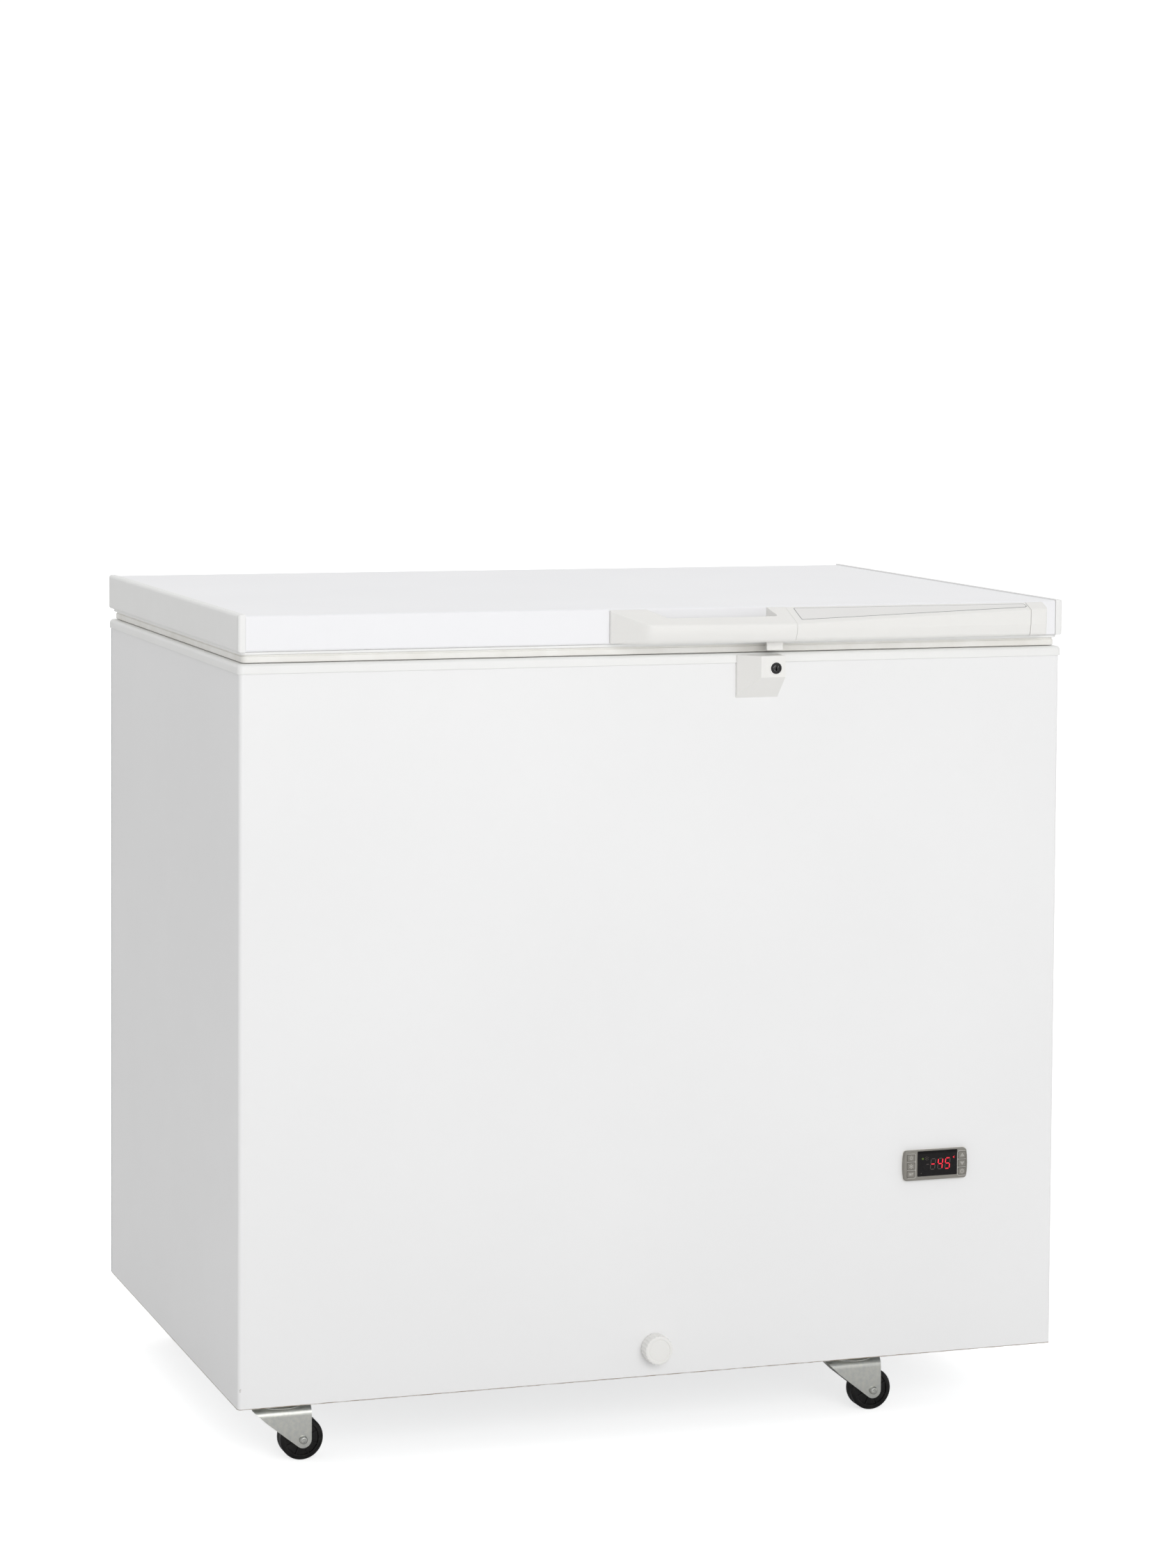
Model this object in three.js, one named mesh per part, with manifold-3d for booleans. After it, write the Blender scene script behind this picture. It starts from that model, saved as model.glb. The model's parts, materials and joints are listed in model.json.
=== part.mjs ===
// A low-temperature chest freezer on four swivel casters. Millimetres, +Z up, front towards -Y.
// The origin is on the floor, under the middle of the freezer's overall box.
import * as THREE from "three";
import { mergeVertices } from "three/addons/utils/BufferGeometryUtils.js";
import Module from "manifold-3d";

const wasm = await Module();
wasm.setup();

// ---------------------------------------------------------------- driving dimensions
const gap = 0.3; // between pieces that are assembled against each other

const cabinet = { width: 900, depth: 610, floorClearance: 70, topHeight: 825, cornerRadius: 4 };
const sheet = 0.8; // painted outer steel
const baseSheet = 1.5;
const returnFlange = 17; // the side walls fold in behind, where the rear panel is fixed

const cavity = { wall: 90, floor: 90, stepInsulation: 70, linerSheet: 1 };
const bay = { width: 270, height: 250 }; // compressor bay at the right, under the step

const rim = { proud: 2, skirt: 10, plate: 3, edgeRadius: 5, lip: 1.7, lipDepth: 15 };

const lid = {
  skinHeight: 37, // front edge of the pressed steel skin
  gasketHeight: 8.1,
  frameHeight: 2.7,
  seatGap: 0.6, // gasket to rim when closed
  edgeRadius: 2.5,
  capWidth: 8,
  capProud: 1,
  capRadius: 5,
  plugDrop: 22, // how far the inner pan hangs below the rim
  plugClearance: 15,
  panWall: 2.5,
};

const gasket = { inset: 6, width: 16, corner: 6, bulge: 2 };

const handle = {
  left: -60, // where the ramp meets the lid
  gripStart: -27,
  joint: 133.5, // where the grip meets the cover
  rightInset: 22, // from the cabinet's right side to the end of the cover
  gripDepth: 33,
  jointDepth: 36,
  endDepth: 14,
  topDrop: 1.5, // below the lid's top
  topSlope: 0.42,
  slotLeft: -22,
  slotRight: 119,
  slotDepth: 19,
};

const lock = { x: 116, width: 46.5, height: 45, depth: 23, rimDepth: 4, barrelRadius: 5.7, wall: 2.5 };
const cam = { reach: 24, thickness: 3, standOff: 6, armWidth: 5, fingerLength: 7, fingerHeight: 3 };
const keyway = { width: 1.6, height: 7.2, depth: 5 };
// Left and right are measured from the lock's axis.
const striker = { left: -8, right: 10, ledgeLeft: 3.2, depth: 11, wall: 3, aboveRim: 3.5 };

const hinge = {
  spacing: 600,
  width: 60,
  pinBehind: 13, // behind the rear panel
  pinAbove: 4, // above the rim
  pinRadius: 3.7,
  earRadius: 9,
  sheet: 3,
  knuckleRadius: 7.5,
  plateHeight: 77,
};

const drain = { x: -4, above: 30, inset: 125, bore: 7, tube: 10, spout: 13 };
const drainKnob = { radius: 15.5, depth: 15, flutes: 24, fluteDepth: 0.7, clearance: 0.4 };

const controller = {
  fromRight: 139, // its middle, from the cabinet's right side
  above: 204, // and above the cabinet's bottom edge
  width: 74,
  height: 32,
  proud: 5,
  bulge: 1.8,
  corner: 3.5,
  overlap: 1.5, // the bezel covers the edge of its cut-out
  bodyDepth: 60,
};
const keys = { width: 9, height: 7.4, pitch: 8.7, leftX: -28.6, rightX: 30.4, proud: 0.5, thickness: 3 };
const display = { left: -21, right: 24.5, bottom: -11.5, top: 15, thickness: 2 };

const caster = {
  leftInset: 57, // swivel axes from the cabinet's sides; the right pair clears the machinery
  rightInset: 211,
  inset: 55, // swivel axis behind the front face, and ahead of the rear one
  trail: 22,
  wheelRadius: 22.5,
  wheelWidth: 20,
  axleRadius: 3,
  plate: 60,
  plateSheet: 2.5,
  raceRadius: 21,
  raceHeight: 5.7,
  forkSheet: 2,
  forkCrown: 3.2,
  kingpinRadius: 5,
};

const fan = { y: -130, above: 105, size: 150, bore: 68, depth: 38, hub: 20, blades: 5 };
const condenser = { width: 40, depth: 170, height: 180, slots: 11, slotWidth: 6, slotDepth: 28 };
const compressor = { fromRight: 138, y: 130, radius: 76, height: 165, footHeight: 14 };
const grille = { depth: 200, height: 180, frame: 12, slots: 9, slotHeight: 8, sheet: 1.5 };

// ---------------------------------------------------------------- levels and faces derived from them
const halfWidth = cabinet.width / 2;
const halfDepth = cabinet.depth / 2;
const bottom = cabinet.floorClearance;
const rimTop = cabinet.topHeight;
const underRim = rimTop - rim.plate - gap;
const basePanTop = bottom + baseSheet;
const cavityX = halfWidth - cavity.wall;
const cavityY = halfDepth - cavity.wall;
const cavityFloor = bottom + cavity.floor;
const bayLeft = halfWidth - bay.width;
const bayTop = bottom + bay.height;
const stepLeft = bayLeft - cavity.stepInsulation;
const stepTop = bayTop + cavity.stepInsulation;
const lidBottom = rimTop + lid.seatGap + lid.gasketHeight + 2 * gap + lid.frameHeight;
const lidTop = lidBottom + lid.skinHeight;
const lidHalfWidth = halfWidth + rim.proud;
const lidHalfDepth = halfDepth + rim.proud;
const gasketBottom = rimTop + lid.seatGap;
const gasketTop = gasketBottom + lid.gasketHeight;
const frameTop = lidBottom - gap;
const handleBottom = lidBottom + 1;
const handleTop = lidTop - handle.topDrop;
const hingeAxis = { y: halfDepth + hinge.pinBehind, z: rimTop + hinge.pinAbove };
const lockZ = rimTop - 14.5;
const drainZ = bottom + drain.above;
const panelZ = bottom + controller.above;
const controllerX = halfWidth - controller.fromRight;
const compressorX = halfWidth - compressor.fromRight;
const handleRight = halfWidth - handle.rightInset;

// ---------------------------------------------------------------- finishes
const finish = (color, roughness, metalness = 0) =>
  new THREE.MeshStandardMaterial({ color, roughness, metalness });
const paintedSteel = finish(0xf4f4f4, 0.35);
const rimPlastic = finish(0xf5f5f4, 0.4);
const handlePlastic = finish(0xf0efec, 0.45);
const gasketVinyl = finish(0xeae8e2, 0.6);
const linerEnamel = finish(0xf2f3f3, 0.3);
const foam = finish(0xe8dcae, 0.95);
const galvanised = finish(0xb9bcbd, 0.4, 0.9);
const zincPlated = finish(0xc6c9c8, 0.3, 0.95);
const springSteel = finish(0x8f9294, 0.3, 1);
const blackPlastic = finish(0x1b1b1c, 0.5);
const casterPlastic = finish(0x18181a, 0.45);
const bezelGrey = finish(0x8d8a84, 0.55);
const keyGrey = finish(0x85827b, 0.6);
const darkWindow = finish(0x0f0c0c, 0.08);
const chrome = finish(0xd8d8d8, 0.12, 1);
const aluminium = finish(0xc9ccce, 0.35, 0.9);
const copper = finish(0xb87348, 0.35, 1);
const blackEnamel = finish(0x151515, 0.4);

// ---------------------------------------------------------------- solids from three.js geometry
function solidOf(geometry) {
  const flat = geometry.index ? geometry.toNonIndexed() : geometry;
  const positions = new THREE.BufferGeometry().setAttribute("position", flat.getAttribute("position"));
  const merged = mergeVertices(positions, 1e-4);
  return new wasm.Manifold(
    new wasm.Mesh({
      numProp: 3,
      vertProperties: new Float32Array(merged.attributes.position.array),
      triVerts: new Uint32Array(merged.index.array),
    }),
  );
}

function geometryOf(solid) {
  const m = solid.getMesh();
  const geometry = new THREE.BufferGeometry();
  geometry.setAttribute("position", new THREE.BufferAttribute(new Float32Array(m.vertProperties), 3));
  geometry.setIndex(new THREE.BufferAttribute(new Uint32Array(m.triVerts), 1));
  geometry.computeVertexNormals();
  return geometry;
}

const join = (...solids) => solids.reduce((whole, next) => whole.add(next));
const cut = (whole, ...tools) => tools.reduce((left, tool) => left.subtract(tool), whole);

function box([x0, x1], [y0, y1], [z0, z1]) {
  const block = new THREE.BoxGeometry(x1 - x0, y1 - y0, z1 - z0);
  return solidOf(block.translate((x0 + x1) / 2, (y0 + y1) / 2, (z0 + z1) / 2));
}

// A round bar along "x", "y" or "z", between two values on that axis; centre gives the other two coordinates.
function rod(axis, radius, [from, to], [u, v], sides = 20) {
  const bar = new THREE.CylinderGeometry(radius, radius, to - from, sides);
  const middle = (from + to) / 2;
  if (axis === "x") bar.rotateZ(Math.PI / 2).translate(middle, u, v);
  if (axis === "y") bar.translate(u, middle, v);
  if (axis === "z") bar.rotateX(Math.PI / 2).translate(u, v, middle);
  return solidOf(bar);
}

const outline = (points) => new THREE.Shape(points.map(([u, v]) => new THREE.Vector2(u, v)));

function extrude(shape, length, curveSegments = 4, bevel = 0) {
  return new THREE.ExtrudeGeometry(shape, {
    depth: length - 2 * bevel,
    curveSegments,
    bevelEnabled: bevel > 0,
    bevelThickness: bevel,
    bevelSize: bevel,
    bevelOffset: -bevel,
    bevelSegments: 2,
  }).translate(0, 0, bevel);
}

// Prisms: an outline in XY pushed up Z, in YZ pushed along X, or in XZ pushed along Y.
const prismZ = (shape, [z0, z1], segments, bevel) =>
  solidOf(extrude(shape, z1 - z0, segments, bevel).translate(0, 0, z0));

function prismX(shape, [x0, x1], segments, bevel) {
  const turn = new THREE.Matrix4().makeBasis(
    new THREE.Vector3(0, 1, 0),
    new THREE.Vector3(0, 0, 1),
    new THREE.Vector3(1, 0, 0),
  );
  return solidOf(extrude(shape, x1 - x0, segments, bevel).applyMatrix4(turn).translate(x0, 0, 0));
}

const prismY = (shape, [y0, y1], segments, bevel) =>
  solidOf(extrude(shape, y1 - y0, segments, bevel).rotateX(Math.PI / 2).translate(0, y1, 0));

// A rectangle centred on the origin with its four corners rounded.
function roundedRectangle(width, height, radius) {
  const x = width / 2;
  const y = height / 2;
  const s = new THREE.Shape();
  s.moveTo(-x + radius, -y);
  s.lineTo(x - radius, -y);
  s.absarc(x - radius, -y + radius, radius, -Math.PI / 2, 0);
  s.lineTo(x, y - radius);
  s.absarc(x - radius, y - radius, radius, 0, Math.PI / 2);
  s.lineTo(-x + radius, y);
  s.absarc(-x + radius, y - radius, radius, Math.PI / 2, Math.PI);
  s.lineTo(-x, -y + radius);
  s.absarc(-x + radius, -y + radius, radius, Math.PI, 1.5 * Math.PI);
  return s;
}

// A bent round tube through the given points.
function bentTube(radius, points, steps, sides = 8) {
  const path = new THREE.CatmullRomCurve3(
    points.map((p) => new THREE.Vector3(...p)),
    false,
    "centripetal",
  );
  const section = new THREE.Shape();
  for (let i = 0; i < sides; i++) {
    const a = (2 * Math.PI * i) / sides;
    if (i === 0) section.moveTo(radius, 0);
    else section.lineTo(radius * Math.cos(a), radius * Math.sin(a));
  }
  return solidOf(new THREE.ExtrudeGeometry(section, { steps, extrudePath: path }));
}

function lathe(profile, [x, y, z], sides = 24) {
  const points = profile.map(([r, h]) => new THREE.Vector2(r, h));
  return solidOf(new THREE.LatheGeometry(points, sides).rotateX(Math.PI / 2).translate(x, y, z));
}

// The same, turned about an axis along Y through [x, z].
function latheY(profile, [x, y, z], sides = 24) {
  const points = profile.map(([r, h]) => new THREE.Vector2(r, h));
  return solidOf(new THREE.LatheGeometry(points, sides).translate(x, y, z));
}

const freezer = new THREE.Group();

function piece(name, solid, material, parent = freezer) {
  const mesh = new THREE.Mesh(geometryOf(solid), material);
  mesh.name = name;
  parent.add(mesh);
  return mesh;
}

// ---------------------------------------------------------------- cabinet
const frontInside = -halfDepth + sheet;
const returnOutside = halfDepth - sheet - gap;
const sideInside = halfWidth - sheet;

function cabinetShell() {
  const wrapDepth = returnOutside + halfDepth;
  const middle = (returnOutside - halfDepth) / 2;
  const heights = [bottom, underRim];
  const wrap = prismZ(roundedRectangle(cabinet.width, wrapDepth, cabinet.cornerRadius), heights);
  const innerRadius = cabinet.cornerRadius - sheet;
  const inner = roundedRectangle(cabinet.width - 2 * sheet, wrapDepth - 2 * sheet, innerRadius);
  const hollow = prismZ(inner, [bottom - 1, underRim + 1]);
  const back = box(
    [-sideInside + returnFlange, sideInside - returnFlange],
    [returnOutside - middle - 2 * sheet, returnOutside - middle + 1],
    [bottom - 1, underRim + 1],
  );
  const centred = cut(wrap, hollow, back).translate([0, middle, 0]);
  const through = [-halfDepth - 2, frontInside + 2];
  const cutWidth = controller.width / 2 - controller.overlap;
  const cutHeight = controller.height / 2 - controller.overlap;
  const controllerCut = box(
    [controllerX - cutWidth, controllerX + cutWidth],
    through,
    [panelZ - cutHeight, panelZ + cutHeight],
  );
  const drainHole = rod("y", drain.tube + gap, through, [drain.x, drainZ], 16);
  const vent = box([sideInside - 2, halfWidth + 2], ventSpan(grille.frame / 2), ventRise(grille.frame / 2));
  return cut(centred, controllerCut, drainHole, vent);
}

// The side vent is centred on the fan; both ranges are taken in by the given margin.
function ventSpan(margin) {
  return [fan.y - grille.depth / 2 + margin, fan.y + grille.depth / 2 - margin];
}

function ventRise(margin) {
  const middle = bottom + fan.above;
  return [middle - grille.height / 2 + margin, middle + grille.height / 2 - margin];
}

const glandAt = [halfWidth - 60, bottom + 32];

function rearPanel() {
  const panel = box(
    [-halfWidth + gap, halfWidth - gap],
    [halfDepth - sheet, halfDepth],
    [bottom, rimTop - rim.skirt - gap],
  );
  const slots = Array.from({ length: 8 }, (_, i) => {
    const z = bottom + 70 + 18 * i;
    return box([bayLeft + 50, halfWidth - 60], [halfDepth - 3, halfDepth + 2], [z, z + 8]);
  });
  const glandHole = rod("y", 6.5, [halfDepth - 3, halfDepth + 2], glandAt, 16);
  return cut(panel, ...slots, glandHole);
}

// What fills the shell from wall to wall, with the assembly gap all round.
function shellFilling(heights) {
  const back = returnOutside - sheet - gap;
  const front = frontInside + gap;
  const plan = roundedRectangle(2 * (sideInside - gap), back - front, cabinet.cornerRadius - sheet);
  return prismZ(plan, heights).translate([0, (front + back) / 2, 0]);
}

function basePan() {
  const pan = shellFilling([bottom, basePanTop]);
  const intake = Array.from({ length: 6 }, (_, i) => {
    const x = bayLeft + 90 + 24 * i;
    return box([x, x + 10], [-fan.size / 2, fan.size / 2 - 60], [bottom - 1, basePanTop + 1]);
  });
  return cut(pan, ...intake);
}

// The space that the inner tank takes, grown by a margin: a deep well and a shallow part over the step.
function tank(margin, top) {
  const y = cavityY + margin;
  const over = box([-cavityX - margin, cavityX + margin], [-y, y], [stepTop - margin, top]);
  const well = box([-cavityX - margin, stepLeft + margin], [-y, y], [cavityFloor - margin, top]);
  return join(over, well);
}

const drainInletY = -cavityY + (drain.inset - cavity.wall);

function innerLiner() {
  const hole = rod("z", drain.bore, [cavityFloor - 4, cavityFloor + 4], [drain.x, drainInletY], 16);
  return cut(tank(cavity.linerSheet, underRim), tank(0, underRim + 1), hole);
}

const drainTubeTop = cavityFloor - cavity.linerSheet - gap;

function drainRun(radius, extraFront, extraTop) {
  const down = rod("z", radius, [drainZ - radius, drainTubeTop + extraTop], [drain.x, drainInletY], 16);
  const outSpan = [-halfDepth - drain.spout - extraFront, drainInletY + radius];
  const out = rod("y", radius, outSpan, [drain.x, drainZ], 16);
  return join(down, out);
}

const drainPipe = () => cut(drainRun(drain.tube, 0, 0), drainRun(drain.bore, 1, 1));

function insulation() {
  const block = shellFilling([basePanTop + gap, underRim]);
  const machineBay = box([bayLeft, halfWidth + 1], [-halfDepth - 1, halfDepth + 1], [bottom - 1, bayTop]);
  const tankRoom = tank(cavity.linerSheet + gap, underRim + 1);
  return cut(block, tankRoom, machineBay, drainRun(drain.tube + gap, 1, 3));
}

function rimFrame() {
  const width = cabinet.width + 2 * rim.proud;
  const depth = cabinet.depth + 2 * rim.proud;
  const low = rimTop - 2 * rim.skirt;
  const skirtLow = rimTop - rim.skirt;
  const body = prismZ(roundedRectangle(width, depth, rim.edgeRadius + 1), [low, rimTop], 4, rim.edgeRadius);
  const below = box([-width, width], [-depth, depth], [low - 1, skirtLow]);
  const x = halfWidth + gap;
  const y = halfDepth + gap;
  const overShell = box([-x, x], [-y, y], [skirtLow - 1, rimTop - rim.plate]);
  const lipX = cavityX - gap;
  const lipY = cavityY - gap;
  const lipLow = rimTop - rim.lipDepth;
  const lip = box([-lipX, lipX], [-lipY, lipY], [lipLow, rimTop - rim.plate + 1]);
  const openX = lipX - rim.lip;
  const openY = lipY - rim.lip;
  const opening = box([-openX, openX], [-openY, openY], [low - 2, rimTop + 2]);
  return cut(join(cut(body, below, overShell), lip), opening);
}

function sideGrille() {
  const outer = halfWidth + gap;
  const panel = box([outer, outer + grille.sheet], ventSpan(0), ventRise(0));
  const margin = grille.frame / 2 + gap;
  const stub = box([halfWidth - 6, outer + 1], ventSpan(margin), ventRise(margin));
  const pitch = (grille.height - 2 * grille.frame) / grille.slots;
  const first = bottom + fan.above - grille.height / 2 + grille.frame + pitch / 2;
  const slots = Array.from({ length: grille.slots }, (_, i) => {
    const slot = box([-15, 15], ventSpan(grille.frame), [-grille.slotHeight / 2, grille.slotHeight / 2]);
    return slot.rotate([0, 25, 0]).translate([halfWidth, 0, first + pitch * i]);
  });
  return cut(join(panel, stub), ...slots);
}

function cordGland() {
  const flange = rod("y", 11, [halfDepth + gap, halfDepth + gap + 4], glandAt, 16);
  const stem = rod("y", 6, [halfDepth - 10, halfDepth + gap + 12], glandAt, 16);
  const bore = rod("y", 3.5, [halfDepth - 11, halfDepth + gap + 13], glandAt, 12);
  return cut(join(flange, stem), bore);
}

// ---------------------------------------------------------------- cooling machinery in the bay
const fanZ = bottom + fan.above;
const condenserRight = halfWidth - 22;
const condenserLeft = condenserRight - condenser.width;
const fanRight = condenserLeft - 6;
const fanLeft = fanRight - fan.depth;

function compressorPot() {
  const { y, radius, height, footHeight } = compressor;
  const x = compressorX;
  const low = basePanTop + footHeight;
  const profile = [
    [0, 0],
    [radius * 0.7, 0],
    [radius * 0.95, 22],
    [radius, 60],
    [radius + 3, 62],
    [radius + 3, 68],
    [radius, 70],
    [radius * 0.97, height - 45],
    [radius * 0.72, height - 12],
    [0, height],
  ];
  const pot = lathe(profile, [x, y, low], 20);
  const foot = box([x - 98, x + 98], [y - 62, y + 62], [low - 2, low + 1]);
  const bushes = [-88, 88].flatMap((dx) =>
    [-52, 52].map((dy) => rod("z", 8, [basePanTop + gap, low], [x + dx, y + dy], 12)),
  );
  const terminalBox = box([x - radius - 22, x - radius + 14], [y - 26, y + 26], [low + 76, low + 128]);
  return join(pot, foot, ...bushes, terminalBox);
}

function condenserCoil() {
  const y0 = fan.y - condenser.depth / 2;
  const y1 = fan.y + condenser.depth / 2;
  const z0 = fanZ - condenser.height / 2;
  const z1 = fanZ + condenser.height / 2;
  const pitch = condenser.depth / condenser.slots;
  const slots = Array.from({ length: condenser.slots }, (_, i) => {
    const y = y0 + pitch * (i + 0.5);
    return box(
      [condenserRight - condenser.slotDepth, condenserRight + 1],
      [y - condenser.slotWidth / 2, y + condenser.slotWidth / 2],
      [z0 + 6, z1 - 6],
    );
  });
  const block = cut(box([condenserLeft, condenserRight], [y0, y1], [z0, z1]), ...slots);
  const hotGas = bentTube(
    4,
    [
      [condenserLeft + 10, y1 - 5, z1 - 20],
      [condenserLeft + 10, y1 + 12, z1 - 20],
      [condenserLeft, y1 + 24, z1],
      [condenserLeft - 12, compressor.y - compressor.radius - 12, z1 + 4],
      [compressorX + 30, compressor.y - compressor.radius - 6, z1 - 30],
    ],
    14,
  );
  return join(block, hotGas);
}

function suctionLine() {
  const { y, radius } = compressor;
  const x = compressorX;
  const port = [x - 40, y - radius - 4, bottom + 120];
  return bentTube(
    5,
    [
      [bayLeft + 1, y - radius - 60, bottom + 205],
      [bayLeft + 18, y - radius - 60, bottom + 205],
      [bayLeft + 40, y - radius - 40, bottom + 190],
      [x - 52, y - radius - 16, bottom + 150],
      port,
    ],
    12,
  );
}

function liquidLine() {
  const x = fanLeft - 30;
  const coilEnd = fan.y - condenser.depth / 2 - gap;
  const coilLow = fanZ - condenser.height / 2;
  const drierLow = bottom + 60;
  const drierY = fan.y - 100;
  const drier = rod("z", 11, [drierLow, drierLow + 90], [x, drierY], 14);
  const toDrier = bentTube(
    3,
    [
      [condenserLeft + 12, coilEnd, coilLow + 14],
      [condenserLeft + 12, coilEnd - 8, coilLow + 14],
      [condenserLeft + 2, coilEnd - 18, coilLow - 4],
      [x + 26, drierY - 2, drierLow - 20],
      [x + 4, drierY, drierLow - 14],
      [x, drierY, drierLow + 3],
    ],
    14,
    6,
  );
  const toFoam = bentTube(
    3,
    [
      [x, drierY, drierLow + 88],
      [x - 2, drierY, drierLow + 104],
      [x - 30, drierY + 8, drierLow + 122],
      [bayLeft + 20, drierY + 20, drierLow + 128],
      [bayLeft + 1, drierY + 20, drierLow + 128],
    ],
    12,
    6,
  );
  return join(drier, toDrier, toFoam);
}

function fanFrame() {
  const half = fan.size / 2;
  const body = box([fanLeft, fanRight], [fan.y - half, fan.y + half], [fanZ - half, fanZ + half]);
  const bore = rod("x", fan.bore, [fanLeft - 1, fanRight + 1], [fan.y, fanZ], 24);
  const motor = rod("x", fan.hub + 2, [fanLeft, fanLeft + 10], [fan.y, fanZ], 20);
  const spindle = rod("x", 3, [fanLeft + 5, fanRight - 8], [fan.y, fanZ], 10);
  const struts = [0, 60, 120].map((angle) => {
    const bar = box([fanLeft, fanLeft + 6], [-fan.bore - 2, fan.bore + 2], [-4, 4]);
    return bar.rotate([angle, 0, 0]).translate([0, fan.y, fanZ]);
  });
  return join(cut(body, bore), motor, spindle, ...struts);
}

function fanRotor() {
  const x0 = fanLeft + 11;
  const x1 = fanRight - 5;
  const hub = rod("x", fan.hub, [x0, x1], [0, 0], 20);
  const blades = Array.from({ length: fan.blades }, (_, i) => {
    const blade = box([-11, 11], [-1, 1], [fan.hub - 3, fan.bore - 5]);
    const pitched = blade.rotate([0, 0, 38]).translate([(x0 + x1) / 2, 0, 0]);
    return pitched.rotate([(360 / fan.blades) * i, 0, 0]);
  });
  const bore = rod("x", 3.4, [x0 - 1, x1 - 2], [0, 0], 10);
  return cut(join(hub, ...blades), bore).translate([0, fan.y, fanZ]);
}

// ---------------------------------------------------------------- temperature controller
const panelFront = -halfDepth - controller.proud;

function bezelOutline() {
  const x = controller.width / 2 - controller.bulge;
  const z = controller.height / 2;
  const r = controller.corner;
  const s = new THREE.Shape();
  s.moveTo(-x + r, -z);
  s.lineTo(x - r, -z);
  s.quadraticCurveTo(x, -z, x + 0.3, -z + r);
  s.quadraticCurveTo(x + 2 * controller.bulge - 0.3, 0, x + 0.3, z - r);
  s.quadraticCurveTo(x, z, x - r, z);
  s.lineTo(-x + r, z);
  s.quadraticCurveTo(-x, z, -x - 0.3, z - r);
  s.quadraticCurveTo(-x - 2 * controller.bulge + 0.3, 0, -x - 0.3, -z + r);
  s.quadraticCurveTo(-x, -z, -x + r, -z);
  return s;
}

const keyPlaces = [
  ["key_light", keys.leftX, keys.pitch],
  ["key_defrost", keys.leftX, 0],
  ["key_set", keys.leftX, -keys.pitch],
  ["key_up", keys.rightX, keys.pitch],
  ["key_down", keys.rightX, 0],
  ["key_power", keys.rightX, -keys.pitch],
];

const around = (middle, half) => [middle - half, middle + half];
const keySpan = (x, margin) => around(controllerX + x, keys.width / 2 + margin);
const keyRise = (z, margin) => around(panelZ + z, keys.height / 2 + margin);

function controllerBezel() {
  const flat = prismY(bezelOutline(), [panelFront, -halfDepth - gap], 4, 0.8);
  const plate = flat.translate([controllerX, 0, panelZ]);
  const holes = keyPlaces.map(([, x, z]) =>
    box(keySpan(x, gap), [panelFront - 1, -halfDepth + 1], keyRise(z, gap)),
  );
  const window = box(
    [controllerX + display.left - gap, controllerX + display.right + gap],
    [panelFront - 1, panelFront + display.thickness + gap],
    [panelZ + display.bottom - gap, panelZ + controller.height],
  );
  return cut(plate, ...holes, window);
}

const displayWindow = () =>
  box(
    [controllerX + display.left, controllerX + display.right],
    [panelFront, panelFront + display.thickness],
    [panelZ + display.bottom, panelZ + display.top],
  );

const controllerBody = () =>
  box(
    [controllerX - controller.width / 2 + 2, controllerX + controller.width / 2 - 2],
    [-halfDepth, -halfDepth + controller.bodyDepth],
    [panelZ - controller.height / 2 + 2, panelZ + controller.height / 2 - 2],
  );

function key(x, z) {
  const cap = roundedRectangle(keys.width, keys.height, 1.5);
  const span = [panelFront - keys.proud, panelFront - keys.proud + keys.thickness];
  return prismY(cap, span, 2).translate([controllerX + x, 0, panelZ + z]);
}

// ---------------------------------------------------------------- drain cap
function drainCap() {
  const { radius, depth, flutes, fluteDepth, clearance } = drainKnob;
  const back = -halfDepth - clearance;
  const front = back - depth;
  const rim = new THREE.Shape();
  for (let i = 0; i < 2 * flutes; i++) {
    const a = (Math.PI * i) / flutes;
    const r = i % 2 ? radius - fluteDepth : radius;
    if (i === 0) rim.moveTo(r, 0);
    else rim.lineTo(r * Math.cos(a), r * Math.sin(a));
  }
  const cup = prismY(rim, [front, back], 1).translate([drain.x, 0, drainZ]);
  const socketSpan = [-halfDepth - drain.spout - clearance, back + 1];
  const socket = rod("y", drain.tube + clearance, socketSpan, [drain.x, drainZ], 20);
  return cut(cup, socket);
}

// ---------------------------------------------------------------- lock
const lockLeft = lock.x + 10.5 - lock.width;
const lockRight = lock.x + 10.5;
const lockTop = rimTop - 1.5;
const lockLow = lockTop - lock.height;
const flatLeft = lockLeft + 19.5;
const flatLow = lockTop - 22.5;
const outFrom = (depth) => -halfDepth - depth;
const camSpan = [outFrom(cam.standOff + cam.thickness), outFrom(cam.standOff)];

// The cut that slopes one side of the housing down to the cabinet; inset makes the same slope for the hollow.
function housingSlopes(inset) {
  const high = lock.depth - inset;
  const low = lock.rimDepth - inset;
  const far = lock.depth + 5;
  const side = outline([
    [lockLeft + inset, outFrom(low)],
    [flatLeft + inset, outFrom(high)],
    [flatLeft + inset, outFrom(far)],
    [lockLeft - 5, outFrom(far)],
    [lockLeft - 5, outFrom(low)],
  ]);
  const foot = outline([
    [outFrom(low), lockLow + inset],
    [outFrom(high), flatLow + inset],
    [outFrom(far), flatLow + inset],
    [outFrom(far), lockLow - 5],
    [outFrom(low), lockLow - 5],
  ]);
  return [prismZ(side, [lockLow - 6, lockTop + 1]), prismX(foot, [lockLeft - 6, lockRight + 1])];
}

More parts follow.
